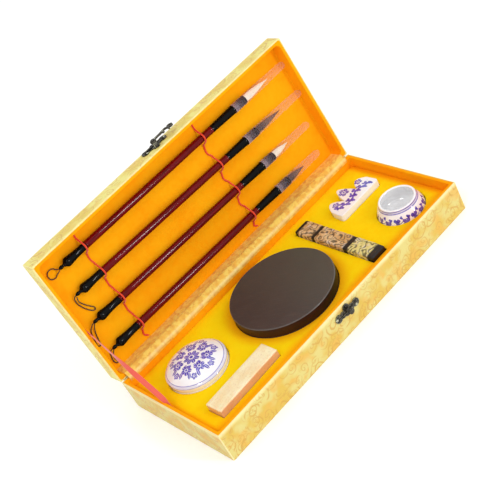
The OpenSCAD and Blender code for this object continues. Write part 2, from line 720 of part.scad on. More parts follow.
// Porcelain box for seal paste
module paste_box() {
    r = paste_d / 2;
    w = paste_wall;
    h = paste_bottom_h;
    outer = smooth([[r * 0.72, 0], [r * 0.9, 0.9], [r - 0.5, 3.4], [r, 6]], 5);
    color(porcelain) translate([paste_xy[0], paste_xy[1], paste_z]) rotate_extrude(convexity = 4) polygon(concat(
        [[0, 1], [r * 0.66, 1], [r * 0.68, 0]], outer,
        [[r, h], [r - w * 0.6, h], [r - w * 0.6 - 0.2, h + paste_lip], [r - w * 1.4, h + paste_lip],
        [r - w * 1.4, h - 2], [r - w * 1.6, w + 1.6], [r - w * 2.2, w + 0.2], [0, w]]));
}

module seal_paste() {
    r = paste_d / 2 - paste_wall * 1.6 - 0.4;
    crown = smooth([[r, paste_fill - 1], [r * 0.7, paste_fill], [0, paste_fill + 0.6]], 4);
    color(paste_red) translate([paste_xy[0], paste_xy[1], paste_z + paste_wall + 1.6]) rotate_extrude()
        polygon(concat([[0, -0.8], [r - 1, -0.8], [r, 0]], crown));
}

module paste_box_lid() {
    r = paste_d / 2;
    w = paste_wall;
    s = paste_lid_side;
    d = paste_dome;
    outer = smooth([[r, s - 0.6], [r * 0.93, s + 1.4], [r * 0.74, s + d * 0.56], [r * 0.45, s + d * 0.86], [0, s + d]], 5);
    inner = [[0, s + d - w], [r * 0.45 - 0.6, s + d * 0.86 - w], [r * 0.74 - 1, s + d * 0.56 - w], [r - w, s - 1]];
    color(porcelain) translate([paste_xy[0], paste_xy[1], paste_z + paste_bottom_h]) rotate_extrude(convexity = 4)
        polygon(concat([[r - w * 0.6 + 0.3, 0], [r - 0.3, 0], [r, 0.5]], outer, inner,
        [[r - w * 0.6 + 0.3, paste_lip + 0.4]]));
}

module seal_stone() {
    color(seal_cream) translate([seal_xy[0], seal_xy[1], seal_z]) rotate(seal_turn)
        bevelled_block(seal_length, seal_w, seal_w, seal_bevel);
}

// Water dish: a round-bellied bowl with a drawn-in mouth, on a turned foot
module water_dish() {
    f = dish_foot_d / 2;
    m = dish_mouth_d / 2;
    b = dish_d / 2;
    h = dish_h;
    w = dish_wall;
    outer = smooth([[f, 0.8], [f + 4, 2.4], [b - 0.8, h * 0.3], [b, h * 0.46], [b - 1.6, h * 0.68],
        [m + 0.9, h * 0.88], [m, h - 0.5]], 5);
    rim = [[m - 0.4, h], [m - w + 0.5, h]];
    inner = smooth([[m - w, h - 0.6], [b - w - 1.8, h * 0.66], [b - w, h * 0.46], [b - w - 1.2, h * 0.3],
        [f + 1, w + 1.6], [f - 5, w + 0.6], [0, w + 0.4]], 5);
    color(porcelain) translate([dish_xy[0], dish_xy[1], dish_z]) rotate_extrude(convexity = 4)
        polygon(concat([[0, 1.2], [f - 2.4, 1.2], [f - 2, 0], [f, 0]], outer, rim, inner));
}

// Ink stick: a bevelled bar with three moulded panels along its upper face
module ink_stick() {
    panels = [[-0.5, -0.2], [-0.15, 0.26], [0.31, 0.5]];
    flat = ink_w - 2 * ink_bevel;
    color(ink_gold) translate([ink_x, 0, ink_z]) rotate(90) union() {
        bevelled_block(ink_length, ink_w, ink_t - ink_relief, ink_bevel);
        for (p = panels) {
            translate([(p[0] + p[1]) / 2 * (ink_length - 12), 0, ink_t - ink_relief - 1])
                bevelled_block((p[1] - p[0]) * (ink_length - 12), flat, ink_relief + 1, ink_relief);
        }
    }
}

// Brush rest: three peaks on a long foot, with a hollow for a brush between each pair
rest_peaks = [0.72, 1, 0.78];
rest_corner = rest_round + 0.5;
function rest_profile(x) =
    let (s = 3 * min(1, max(0, 0.5 - x / rest_length)), k = min(floor(s), 2), p = rest_peak * rest_peaks[k])
    rest_foot + (p - rest_foot) * pow(sin(180 * (s - k)), 0.9);

// Its top edge a distance d further in, even where two peaks meet, or further out where d is negative
function rest_top(x, d) = d <= 0 ? rest_profile(x) - d : min([for (k = [-8 : 8])
    let (u = d * k / 8) rest_profile(x + u) - sqrt(d * d - u * u)]);
function rest_outline(d) = concat(
    [for (a = [180 : 30 : 270]) [rest_corner - rest_length / 2, rest_corner] + (rest_corner - d) * [cos(a), sin(a)]],
    [for (x = [-1, 0, 1]) [x * (rest_length - 2 * d) / 3, d]],
    [for (a = [270 : 30 : 360]) [rest_length / 2 - rest_corner, rest_corner] + (rest_corner - d) * [cos(a), sin(a)]],
    [for (k = [1 : 35]) let (x = (rest_length / 2 - d) * (1 - k / 18)) [x, rest_top(x, d)]]);

// The flat faces: one fan under each peak, from points 4, 5 and 6 on the bottom edge
function rest_fans(n) = concat(
    [for (i = [7 : 21]) [6, i, i + 1]], [[5, 6, 22]],
    [for (i = [22 : 33]) [5, i, i + 1]], [[4, 5, 34]],
    [for (i = [34 : n + 2]) [4, i % n, (i + 1) % n]]);

module brush_rest() {
    steps = 3;
    levels = [for (k = [0 : steps]) let (a = 90 * k / steps) rest_round * [1 - sin(a), 1 - cos(a)]];
    heights = concat(levels, [for (k = [steps : -1 : 0]) [levels[k][0], rest_t - levels[k][1]]]);
    rings = [for (h = heights, q = rest_outline(h[0])) [q[0], q[1], h[1]]];
    n = len(rest_outline(0));
    top = n * (len(heights) - 1);
    sides = [for (j = [0 : len(heights) - 2], i = [0 : n - 1])
        let (a = j * n + i, b = j * n + (i + 1) % n)
        for (f = [[a, a + n, b], [b, a + n, b + n]]) f];
    color(porcelain) translate([rest_xy[0], rest_xy[1], rest_z])
        polyhedron(rings, concat(sides, rest_fans(n), [for (f = rest_fans(n)) [top + f[2], top + f[1], top + f[0]]]));
}

base_board();
base_brocade();
base_lining();
insert();
catch_plate();
catch_knob();
catch_nails();
inner_hinge_cloth();
outer_hinge_cloth();
stay_ribbon();
lid_board();
lid_brocade();
lid_lining();
hasp_plate();
hasp_nails();
hook_rivet();
hasp_hook();
elastic_runs();
elastic_loops();
brush_handle(0);  // brush_1_handle
brush_tail(0);  // brush_1_tail
brush_ferrule(0);  // brush_1_ferrule
brush_tuft(0);  // brush_1_tuft
brush_cap(0);  // brush_1_cap
brush_thread(0);  // brush_1_thread
brush_handle(1);  // brush_2_handle
brush_tail(1);  // brush_2_tail
brush_ferrule(1);  // brush_2_ferrule
brush_tuft(1);  // brush_2_tuft
brush_cap(1);  // brush_2_cap
brush_thread(1);  // brush_2_thread
brush_handle(2);  // brush_3_handle
brush_tail(2);  // brush_3_tail
brush_ferrule(2);  // brush_3_ferrule
brush_tuft(2);  // brush_3_tuft
brush_cap(2);  // brush_3_cap
brush_thread(2);  // brush_3_thread
brush_handle(3);  // brush_4_handle
brush_tail(3);  // brush_4_tail
brush_ferrule(3);  // brush_4_ferrule
brush_tuft(3);  // brush_4_tuft
brush_cap(3);  // brush_4_cap
brush_thread(3);  // brush_4_thread
ink_stone();
ink_stone_cover();
paste_box();
seal_paste();
paste_box_lid();
seal_stone();
water_dish();
ink_stick();
brush_rest();
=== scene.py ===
from contextlib import contextmanager
from math import atan2, copysign, cos, hypot, pi, radians, sin, sqrt

import bmesh
import bpy
from mathutils import Matrix, Vector, noise


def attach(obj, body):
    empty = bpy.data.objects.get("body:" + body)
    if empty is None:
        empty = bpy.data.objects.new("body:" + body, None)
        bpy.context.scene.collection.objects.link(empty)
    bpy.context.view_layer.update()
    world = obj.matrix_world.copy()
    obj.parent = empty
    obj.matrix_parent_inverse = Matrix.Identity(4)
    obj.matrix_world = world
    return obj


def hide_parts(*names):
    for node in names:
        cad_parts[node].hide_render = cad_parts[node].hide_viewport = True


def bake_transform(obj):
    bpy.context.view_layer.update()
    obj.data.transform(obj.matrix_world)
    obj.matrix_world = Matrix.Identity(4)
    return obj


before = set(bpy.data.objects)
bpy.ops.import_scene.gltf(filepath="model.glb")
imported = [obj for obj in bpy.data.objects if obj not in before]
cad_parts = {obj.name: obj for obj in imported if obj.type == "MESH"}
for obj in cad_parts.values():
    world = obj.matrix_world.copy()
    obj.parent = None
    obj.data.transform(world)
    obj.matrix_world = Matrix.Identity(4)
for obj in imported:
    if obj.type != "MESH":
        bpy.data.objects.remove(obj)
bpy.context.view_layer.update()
mm = 0.001


def shift(x, y, z):  # in millimetres
    return Matrix.Translation((x * mm, y * mm, z * mm))


def turn(angle, axis):  # in degrees
    return Matrix.Rotation(radians(angle), 4, axis)


# the lid is made shut, with its hinge line at the origin, and then swung open
hinge = {"y": 70.0, "z": 31.65, "angle": 98.0, "gap": 0.15}
lidTurn = shift(0, hinge["y"], hinge["z"]) @ turn(-hinge["angle"], "X")


def smoothLine(points, steps):
    line, last = [], len(points) - 1
    for i in range(last):
        a, b, c, d = (Vector(points[k]) for k in (max(i - 1, 0), i, i + 1, min(i + 2, last)))
        for k in range(steps):
            t = k / steps
            square, cube = 2 * a - 5 * b + 4 * c - d, 3 * b - a - 3 * c + d
            line.append(0.5 * (2 * b + (c - a) * t + square * t ** 2 + cube * t ** 3))
    return line + [Vector(points[last])]


def smoothStep(value, low, high):
    t = min(1.0, max(0.0, (value - low) / (high - low)))
    return t * t * (3 - 2 * t)


def lengthOf(line):
    return sum((b - a).length for a, b in zip(line, line[1:]))


def lidPoint(v, h):  # distance from the hinge and from the rim, as the box's depth and height
    point = lidTurn @ Vector((0, -v * mm, h * mm))
    return Vector((point.y / mm, point.z / mm))


# ---- camera
photoCamera = {"place": (-0.40294, -0.80243, 0.71829), "turn": (50.8048, 23.963, -43.9579), "lens": 90.818,
               "near": 0.01}
bpy.ops.object.camera_add(location=photoCamera["place"], rotation=[radians(a) for a in photoCamera["turn"]])
camera = bpy.context.scene.camera = bpy.context.object
camera.data.lens, camera.data.clip_start = photoCamera["lens"], photoCamera["near"]
print("camera placed")


# ---- modelling helpers
def onlySelect(*pieces):
    bpy.ops.object.select_all(action="DESELECT")
    for piece in pieces:
        piece.select_set(True)
    bpy.context.view_layer.objects.active = pieces[0]


@contextmanager
def editing(piece):  # edit mode with everything selected
    onlySelect(piece)
    bpy.ops.object.mode_set(mode="EDIT")
    bpy.ops.mesh.select_all(action="SELECT")
    yield
    bpy.ops.object.mode_set(mode="OBJECT")


def choose(piece, kind, test):  # selects what passes the test, in edit mode
    bpy.ops.mesh.select_mode(type=kind)
    bpy.ops.mesh.select_all(action="DESELECT")
    mesh = bmesh.from_edit_mesh(piece.data)
    found = [part for part in {"EDGE": mesh.edges, "FACE": mesh.faces}[kind] if test(part)]
    for part in found:
        part.select_set(True)
    mesh.select_flush_mode()
    bmesh.update_edit_mesh(piece.data)
    return len(found)


def applyPlace():
    bpy.ops.object.transform_apply(location=True, rotation=True, scale=True)


def place(piece, matrix):
    piece.matrix_world = matrix
    onlySelect(piece)
    applyPlace()


def roundShade(piece, angle):
    onlySelect(piece)
    bpy.ops.object.shade_smooth_by_angle(angle=radians(angle))


def finishModifier(piece, kind, **settings):
    modifier = piece.modifiers.new(kind, kind)
    for key, value in settings.items():
        setattr(modifier, key, value)
    onlySelect(piece)
    bpy.ops.object.modifier_apply(modifier=modifier.name)


def bevelSharp(piece, width, segments=2, **settings):
    finishModifier(piece, "BEVEL", width=width * mm, segments=segments, limit_method="ANGLE", **settings)


def linked(name, data):
    piece = bpy.data.objects.new(name, data)
    bpy.context.scene.collection.objects.link(piece)
    return piece


def copyOf(piece, name):
    return linked(name, piece.data.copy())


def added(name, add, **settings):  # begun from one of Blender's own shapes
    bpy.ops.object.select_all(action="DESELECT")
    add(**settings)
    piece = bpy.context.object
    piece.name = name
    applyPlace()
    return piece


def block(name, low, high):  # a box between two corners in millimetres
    return added(name, bpy.ops.mesh.primitive_cube_add, size=1, location=[(a + b) / 2 * mm for a, b in zip(low, high)],
                 scale=[(b - a) * mm for a, b in zip(low, high)])


def turned(name, outline, sides):  # an outline of radii and heights in millimetres, drawn out ring by ring
    radius, height = max(outline[0][0], 0.05), outline[0][1]
    piece = added(name, bpy.ops.mesh.primitive_circle_add, vertices=sides, radius=radius * mm, fill_type="TRIFAN",
                  location=(0, 0, height * mm))
    with editing(piece):
        bpy.ops.mesh.select_mode(type="EDGE")
        bpy.ops.mesh.select_all(action="DESELECT")
        bpy.ops.mesh.select_non_manifold()
        for nextRadius, nextHeight in outline[1:]:
            nextRadius = max(nextRadius, 0.05)
            bpy.ops.mesh.extrude_edges_move(TRANSFORM_OT_translate={"value": (0, 0, (nextHeight - height) * mm)})
            scale = nextRadius / radius
            if abs(scale - 1) > 1e-6:
                bpy.ops.transform.resize(value=(scale, scale, 1), center_override=(0, 0, nextHeight * mm))
            radius, height = nextRadius, nextHeight
        bpy.ops.mesh.edge_face_add()
        bpy.ops.mesh.poke()
        bpy.ops.mesh.select_all(action="SELECT")
        bpy.ops.mesh.remove_doubles(threshold=1e-7)
        bpy.ops.mesh.normals_make_consistent(inside=False)
    return piece


def ringPiece(name, rings, closed):  # drawn through rings of as many points each; closed fills the last one
    count = len(rings[0])
    piece = added(name, bpy.ops.mesh.primitive_circle_add, vertices=count, radius=1, fill_type="NOTHING")
    with editing(piece):
        bpy.ops.mesh.select_mode(type="EDGE")
        for _ in rings[1:]:
            bpy.ops.mesh.extrude_edges_move(TRANSFORM_OT_translate={"value": (0, 0, 1)})
        if closed:
            bpy.ops.mesh.edge_face_add()
            bpy.ops.mesh.poke()
    for vertex in piece.data.vertices:
        ring, x, y = round(vertex.co.z), vertex.co.x, vertex.co.y
        if hypot(x, y) < 0.5:
            vertex.co = sum((Vector(point) for point in rings[-1]), Vector()) / count * mm
        else:
            vertex.co = Vector(rings[ring][round(atan2(y, x) / (2 * pi) * count) % count]) * mm
    with editing(piece):
        bpy.ops.mesh.normals_make_consistent(inside=False)
    return piece


def mergedCopy(node, name):  # a CAD node's mesh, its loose triangles joined
    piece = copyOf(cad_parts[node], name)
    with editing(piece):
        bpy.ops.mesh.remove_doubles(threshold=2e-6)
        bpy.ops.mesh.dissolve_limited(angle_limit=radians(0.4))
    return piece


def cutInto(axis, low, high, step):  # even cuts across one axis, in edit mode
    count = max(1, round((high - low) / step))
    normal = [float(k == axis) for k in range(3)]
    for k in range(1, count):
        bpy.ops.mesh.select_all(action="SELECT")
        bpy.ops.mesh.bisect(plane_co=[n * (low + (high - low) * k / count) * mm for n in normal], plane_no=normal)


def layCloth(piece, rule):  # the one layout that a piece has, from the face and the point of each corner
    for layer in list(piece.data.uv_layers):
        piece.data.uv_layers.remove(layer)
    layout = piece.data.uv_layers.new(name="cloth")
    for face in piece.data.polygons:
        for loop in face.loop_indices:
            layout.data[loop].uv = rule(face, piece.data.vertices[piece.data.loops[loop].vertex_index])


def paint(piece, name, values):  # one number for each point
    layer = piece.data.attributes.new(name, "FLOAT", "POINT")
    for k, value in enumerate(values):
        layer.data[k].value = value


def paintPoints(piece, name, rule):  # from its place in millimetres
    paint(piece, name, [rule(vertex.co / mm) for vertex in piece.data.vertices])


def movePoints(piece, rule):
    for vertex in piece.data.vertices:
        vertex.co = rule(vertex.co / mm) * mm


def tube(name, line, radius, sides=10, width=None, taper=None, twist=None):  # a cord, or with a width a ribbon
    mesh = bmesh.new()
    layout = mesh.loops.layers.uv.new("cloth")
    side, rings, along = None, [], [0.0]
    for i, point in enumerate(line):
        ahead = (line[min(i + 1, len(line) - 1)] - line[max(i - 1, 0)]).normalized()
        if side is None:
            side = ahead.cross(Vector((1, 0, 0)) if abs(ahead.x) < 0.9 else Vector((0, 0, 1))).normalized()
        side = (side - ahead * side.dot(ahead)).normalized()
        other = ahead.cross(side)
        if i:
            along.append(along[-1] + (point - line[i - 1]).length)
        share = i / (len(line) - 1)
        size = radius * (taper(share) if taper else 1)
        spin = radians(twist(share)) if twist else 0
        flat, thick = side * cos(spin) + other * sin(spin), other * cos(spin) - side * sin(spin)
        rings.append([])
        for k in range(sides):
            a = 2 * pi * (k + 0.5) / sides
            across, through = cos(a), sin(a)
            if width:
                across = copysign(abs(across) ** 0.3, across) * width / 2 / radius
            rings[-1].append(mesh.verts.new((point + size * (across * flat + through * thick)) * mm))
    for i in range(len(rings) - 1):
        for k in range(sides):
            n = (k + 1) % sides
            face = mesh.faces.new((rings[i][k], rings[i][n], rings[i + 1][n], rings[i + 1][k]))
            for loop, (u, v) in zip(face.loops, ((k, i), (k + 1, i), (k + 1, i + 1), (k, i + 1))):
                loop[layout].uv = (u / sides, along[v] * mm)
    mesh.faces.new(list(reversed(rings[0])))
    mesh.faces.new(rings[-1])
    bmesh.ops.recalc_face_normals(mesh, faces=mesh.faces)
    data = bpy.data.meshes.new(name)
    mesh.to_mesh(data)
    mesh.free()
    piece = linked(name, data)
    roundShade(piece, 60)
    return piece


def seat(piece, body, finish, slotName, *stoodFor, at=None, shade=None):  # place, shading, material and body
    if at:
        place(piece, at)
    if shade:
        roundShade(piece, shade)
    piece.data.materials.clear()
    piece.data.materials.append(finish)
    if body:
        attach(piece, body)
    if stoodFor:
        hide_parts(*stoodFor)


def seatCord(line):
    line[0] * mm
    lengthOf(line) * mm
    [point * mm for point in line]


def clothSheet(name, profile, low, high, columns, pucker, thickness):  # a strip along the box, from its side profile
    rows = len(profile)
    piece = added(name, bpy.ops.mesh.primitive_grid_add, x_subdivisions=columns, y_subdivisions=rows - 1, size=1)
    lengths = [lengthOf(profile[:k + 1]) for k in range(rows)]
    places = []
    for vertex in piece.data.vertices:
        x = low + (high - low) * (vertex.co.x + 0.5)
        row = round((vertex.co.y + 0.5) * (rows - 1))
        along = profile[min(row + 1, rows - 1)] - profile[max(row - 1, 0)]
        point = profile[row] + Vector((-along.y, along.x)).normalized() * pucker(x, lengths[row], lengths[-1])
        places.append((Vector((x, *point)), (x * mm, lengths[row] * mm)))
    layCloth(piece, lambda face, vertex: places[vertex.index][1])
    for vertex, (co, _) in zip(piece.data.vertices, places):
        vertex.co = co * mm
    finishModifier(piece, "SOLIDIFY", thickness=thickness * mm, offset=0)
    roundShade(piece, 50)
    return piece


# ---- material helpers
def tone(code):
    parts = [int(code[k:k + 2], 16) / 255 for k in (0, 2, 4)]
    return [c / 12.92 if c <= 0.04045 else ((c + 0.055) / 1.055) ** 2.4 for c in parts] + [1.0]


class Wire:  # a socket that Python's operators add Math nodes to
    def __init__(self, finish, socket):
        self.finish, self.socket = finish, socket

    def __add__(self, other):
        return self.finish.maths("ADD", self, other)

    def __sub__(self, other):
        return self.finish.maths("SUBTRACT", self, other)

    def __rsub__(self, other):
        return self.finish.maths("SUBTRACT", other, self)

    def __mul__(self, other):
        return self.finish.maths("MULTIPLY", self, other)

    def __rmul__(self, other):
        return self.finish.maths("MULTIPLY", other, self)

    def __radd__(self, other):
        return self.finish.maths("ADD", other, self)

    def __truediv__(self, other):
        return self.finish.maths("DIVIDE", self, other)

    def __abs__(self):
        return self.finish.maths("ABSOLUTE", self)


class Finish:
    sockets = {
        "color": "Base Color", "rough": "Roughness", "metal": "Metallic", "coat": "Coat Weight", "normal": "Normal",
        "coatRough": "Coat Roughness", "sheen": "Sheen Weight", "sheenRough": "Sheen Roughness",
        "sheenTint": "Sheen Tint", "specular": "Specular IOR Level", "subsurface": "Subsurface Weight",
        "subsurfaceScale": "Subsurface Scale", "glow": "Emission Color", "glowLevel": "Emission Strength",
    }

    def __init__(self, name, **looks):
        self.begin(bpy.data.materials.new(name), "Principled BSDF")
        self.set(**looks)

    def begin(self, owner, shader):
        owner.use_nodes = True
        self.owner, self.nodes, self.links = owner, owner.node_tree.nodes, owner.node_tree.links
        self.shader = self.nodes[shader]
        coordinates = self.nodes.new("ShaderNodeTexCoord").outputs
        self.place, self.cloth = Wire(self, coordinates["Object"]), Wire(self, coordinates["UV"])

    def put(self, socket, value):  # a wire, a number or a colour's code
        if isinstance(value, Wire):
            self.links.new(value.socket, socket)
        else:
            socket.default_value = tone(value) if isinstance(value, str) else value

    def set(self, **looks):
        for key, value in looks.items():
            self.put(self.shader.inputs[self.sockets[key]], value)
        return self.owner

    def add(self, kind, settings, values, out=0):
        node = self.nodes.new(kind)
        for key, value in settings.items():
            setattr(node, key, value)
        for key, value in values.items():
            self.put(node.inputs[key], value)
        return [Wire(self, socket) for socket in node.outputs] if out is None else Wire(self, node.outputs[out])

    def maths(self, operation, *values):
        return self.add("ShaderNodeMath", {"operation": operation}, dict(enumerate(values)))

    def most(self, first, *others):
        for other in others:
            first = self.maths("MAXIMUM", first, other)
        return first

    def sine(self, value):
        return self.maths("SINE", value)

    def polar(self, x, y):  # distance and angle about a flat pattern's middle
        return self.maths("SQRT", x * x + y * y), self.maths("ARCTAN2", y, x)

    def wrapped(self, value, step):  # the value within one of many even steps, from its middle
        return self.maths("WRAP", value, step / 2, -step / 2)

    def noise(self, vector, scale, detail=2, rough=0.5):
        return self.add("ShaderNodeTexNoise", {}, {
            "Vector": vector, "Scale": scale, "Detail": detail, "Roughness": rough})

    def clouds(self, scale, low, high, detail=2, rough=0.5, at=None):  # noise with its soft edge between two levels
        return self.fade(self.noise(at or self.place, scale, detail, rough), low, high)

    def cells(self, vector, scale, feature="F1", flat=False, random=1.0, out=0):
        return self.add("ShaderNodeTexVoronoi", {"feature": feature, "voronoi_dimensions": "2D" if flat else "3D"},
                        {"Vector": vector, "Scale": scale, "Randomness": random}, out)

    def fade(self, value, low, high, bottom=0.0, top=1.0):
        return self.add("ShaderNodeMapRange", {"interpolation_type": "SMOOTHSTEP"},
                        {0: value, 1: low, 2: high, 3: bottom, 4: top})

    def mix(self, factor, a, b):
        return self.add("ShaderNodeMix", {"data_type": "RGBA"}, {0: factor, 6: a, 7: b}, 2)

    def split(self, vector):
        return self.add("ShaderNodeSeparateXYZ", {}, {0: vector}, None)

    def join(self, x, y):
        return self.add("ShaderNodeCombineXYZ", {}, {0: x, 1: y})

    def stretch(self, vector, scale=(1, 1, 1), turn=0, centre=(0, 0, 0)):  # centres, turns about z and scales
        return self.add("ShaderNodeMapping", {"vector_type": "TEXTURE"}, {
            "Vector": vector, "Location": centre, "Rotation": (0, 0, turn), "Scale": [1 / s for s in scale]})

    def about(self, piece, z=0):  # x, y and z from a piece's own middle
        return self.split(self.stretch(self.place, centre=(piece["x"] * mm, piece["y"] * mm, z * mm)))

    def painted(self, name):
        return self.add("ShaderNodeAttribute", {"attribute_name": name}, {}, 2)

    def bump(self, height, distance, strength=1.0):
        return self.add("ShaderNodeBump", {}, {"Height": height, "Distance": distance * mm, "Strength": strength})


# ---- materials
# light: the pale of the weave's raised threads, and the colour of the painted highlight along folds
brocadeLook = {"line": "D2A040", "light": "FFF6BC", "curls": ((46, 0.0, 26, 1.0), (82, 0.5, 22, 0.8)), "weave": 1500,
               "bend": 0.007}


# edge: how strongly the painted highlight along folds is mixed in
def brocadeFinish(name, gold, cream, amber, edge, depth, patches=55):
    look = brocadeLook
    f = Finish(name, rough=0.55, sheen=0.2, sheenRough=0.4, specular=0.3)
    u, v, _ = f.split(f.cloth)
    bent = f.join(u + (f.noise(f.cloth, 70) - 0.5) * look["bend"],
                  v + (f.noise(f.stretch(f.cloth, centre=(0.3, 0.2, 0)), 70) - 0.5) * look["bend"])
    lines = []
    for scale, offset, turns, strength in look["curls"]:
        at = f.stretch(bent, centre=(offset, offset * 0.7, 0))
        distance, _, middle = f.cells(at, scale, flat=True, random=0.8, out=None)[:3]
        away = f.add("ShaderNodeVectorMath", {"operation": "SUBTRACT"}, {0: at, 1: middle})
        angle = f.polar(*f.split(away)[:2])[1]
        lines.append(f.fade(f.sine(distance * turns + angle), 0.45, 0.9) * f.fade(distance, 0.55, 0.42) * strength)
    broken = f.most(*lines) * f.clouds(90, 0.36, 0.52, 1, at=f.cloth)
    color = f.mix(f.clouds(patches, 0.36, 0.6, at=f.cloth), gold, cream)
    warm = f.clouds(patches * 1.2, 0.5, 0.66, at=f.stretch(f.cloth, centre=(0.7, 0.4, 0)))
    color = f.mix(warm * 0.75, color, amber)
    color = f.mix(broken * depth, color, look["line"])
    weave = f.sine(u * look["weave"] * 2 * pi) * f.sine(v * look["weave"] * 2 * pi)
    color = f.mix(f.fade(weave, -0.8, 0.9) * 0.08, color, look["light"])
    # painted highlight: the fold mask lightens the cloth towards the light colour
    color = f.mix(f.painted("fold") * edge, color, look["light"])
    height = weave * 0.12 + broken * 0.8 + f.noise(f.cloth, 700) * 0.3
    return f.set(color=color, rough=f.fade(broken, 0, 1, 0.56, 0.42), normal=f.bump(height, 0.1, 0.6))


def insertPaintedShade(f):  # painted shade: the pile turns deep orange along the walls and round the ink stone
    x, y, _ = f.split(f.place)
    radius, _ = f.polar(*f.about(inkStone)[:2])
    stonePaintedShade = f.fade(radius, (inkStone["radius"] + 14) * mm, (inkStone["radius"] + 1) * mm) * 0.8
    return f.most(f.fade(y, -44 * mm, -57 * mm), f.fade(abs(x), 147 * mm, 154 * mm), stonePaintedShade)


def velvetFinish(name, color, deep, pale, paintedShadeRule=None):
    f = Finish(name, rough=0.95, sheen=0.12, sheenRough=0.45, sheenTint=pale, specular=0.08)
    fine = f.clouds(260, 0.35, 0.65)
    pile = f.noise(f.place, 3200, 1)
    mixed = f.mix(f.clouds(15, 0.36, 0.64, 3, 0.6) * 0.75, color, deep)
    mixed = f.mix(fine * 0.22, mixed, pale)
    mixed = f.mix(f.fade(pile, 0.35, 0.7) * 0.18, mixed, deep)
    if paintedShadeRule:
        # painted shade: deep orange FFA206 mixed in where the shade mask is high
        mixed = f.mix(paintedShadeRule(f) * 0.85, mixed, "FFA206")
    return f.set(color=mixed, normal=f.bump(pile * 0.8 + fine * 0.4, 0.18, 0.35))


def lacquerFinish():
    f = Finish("maroon_lacquer", coat=0.36, coatRough=0.09, specular=0.0)
    grain = f.clouds(60, 0.35, 0.65, 3, at=f.stretch(f.place, (1, 18, 18)))
    spots = f.clouds(900, 0.55, 0.75)
    color = f.mix(spots * 0.3, f.mix(grain, "520006", "72000A"), "8C0810")
    return f.set(color=color, rough=f.fade(grain, 0, 1, 0.3, 0.42), normal=f.bump(grain * 0.4 + spots * 0.2, 0.05, 0.3))


def hornFinish():
    f = Finish("black_horn", coat=0.22, coatRough=0.08, specular=0.0)
    streak = f.clouds(70, 0.3, 0.7, 3, at=f.stretch(f.place, (1, 10, 10)))
    return f.set(color=f.mix(streak, "020203", "0A090B"), rough=f.fade(streak, 0, 1, 0.16, 0.34),
                 normal=f.bump(streak * 0.5 + f.noise(f.place, 500) * 0.4, 0.04, 0.5))


def hairFinish(name, root, middle, tip):
    f = Finish(name, rough=0.65, sheen=0.15, specular=0.25)
    u, v, _ = f.split(f.cloth)
    strand = f.noise(f.join(u * 120, v * 9), 1, 3, 0.7)
    color = f.mix(f.fade(v, 0.55, 1.0), f.mix(f.fade(v, 0.1, 0.6), root, middle), tip)
    return f.set(color=f.mix(f.fade(strand, 0.35, 0.7) * 0.35, color, root), normal=f.bump(strand, 0.15, 0.7))


def capFinish():
    f = Finish("clear_cap", color="F8DEEC", specular=0.5)
    cloud = f.noise(f.place, 140)
    f.set(rough=f.fade(cloud, 0.3, 0.7, 0.1, 0.24), normal=f.bump(cloud, 0.08, 0.3))
    facing = f.add("ShaderNodeLayerWeight", {}, {"Blend": 0.3}, 1)
    body = f.fade(facing, 0.1, 1.0, 0.03, 0.22) + f.painted("mouth") * 0.09
    clear = f.add("ShaderNodeBsdfTransparent", {}, {"Color": "FEFCFC"})
    mixed = f.add("ShaderNodeMixShader", {}, {0: body, 1: clear, 2: Wire(f, f.shader.outputs[0])})
    f.put(f.nodes["Material Output"].inputs["Surface"], mixed)
    return f.owner


def cordFinish(name, light, dark, pitch, strands):  # a twisted or braided cord, on its own layout
    f = Finish(name, rough=0.6, sheen=0.3, specular=0.25)
    u, v, _ = f.split(f.cloth)
    left = f.sine((u * strands + v / (pitch * mm)) * 2 * pi)
    braid = f.most(left, f.sine((u * strands - v / (pitch * mm)) * 2 * pi))
    fuzz = f.noise(f.place, 2500)
    color = f.mix(f.fade(fuzz, 0.45, 0.7) * 0.3, f.mix(f.fade(braid, -0.2, 0.9), dark, light), light)
    return f.set(color=color, normal=f.bump(braid * 0.7 + fuzz * 0.3, 0.12, 0.8))


def ribbonFinish():
    f = Finish("satin_ribbon", rough=0.38, sheen=0.4, specular=0.5)
    rib = f.sine(f.split(f.cloth)[1] * 2 * pi / 0.0006)
    color = f.mix(f.fade(rib, -0.8, 0.9) * 0.4, "E8503C", "F27058")
    color = f.mix(f.clouds(60, 0.35, 0.7, at=f.stretch(f.cloth, (9, 1, 1))) * 0.4, color, "E04C40")
    return f.set(color=color, normal=f.bump(rib, 0.05, 0.6))


def slateFinish():
    f = Finish("honed_slate", coatRough=0.25, specular=0.25)
    x = f.split(f.place)[0]
    cloud = f.clouds(22, 0.3, 0.7, 4, 0.6)
    grain = f.noise(f.place, 1500, 3, 0.7)
    honing = f.noise(f.stretch(f.place, (24, 1, 1), 0.6), 60, 3)
    # painted sheen: the top turns lighter and greener towards +x
    top = f.mix(f.fade(x, -0.05, 0.035), "383132", "484A43")
    top = f.mix(cloud * 0.5, top, "463E3C")
    top = f.mix(f.fade(grain, 0.5, 0.8) * 0.4, top, "645E5A")
    top = f.mix(f.fade(honing, 0.5, 0.75) * 0.2, top, "5A5452")
    # painted reflection: the sides red-brown towards -x, black towards +x
    side = f.mix(f.fade(x + cloud * 0.02, -0.05, 0.03), "361A10", "0E0A09")
    # painted highlight: the edge mask mixes a pale line onto the top's chamfer
    color = f.mix(f.painted("edge") * 0.2, f.mix(f.painted("side"), top, side), "8A847E")
    return f.set(color=color, coat=0.3 - f.painted("side") * 0.26, rough=f.fade(grain, 0.3, 0.8, 0.34, 0.54),
                 normal=f.bump(grain * 0.5 + honing * 0.5, 0.06, 0.5))


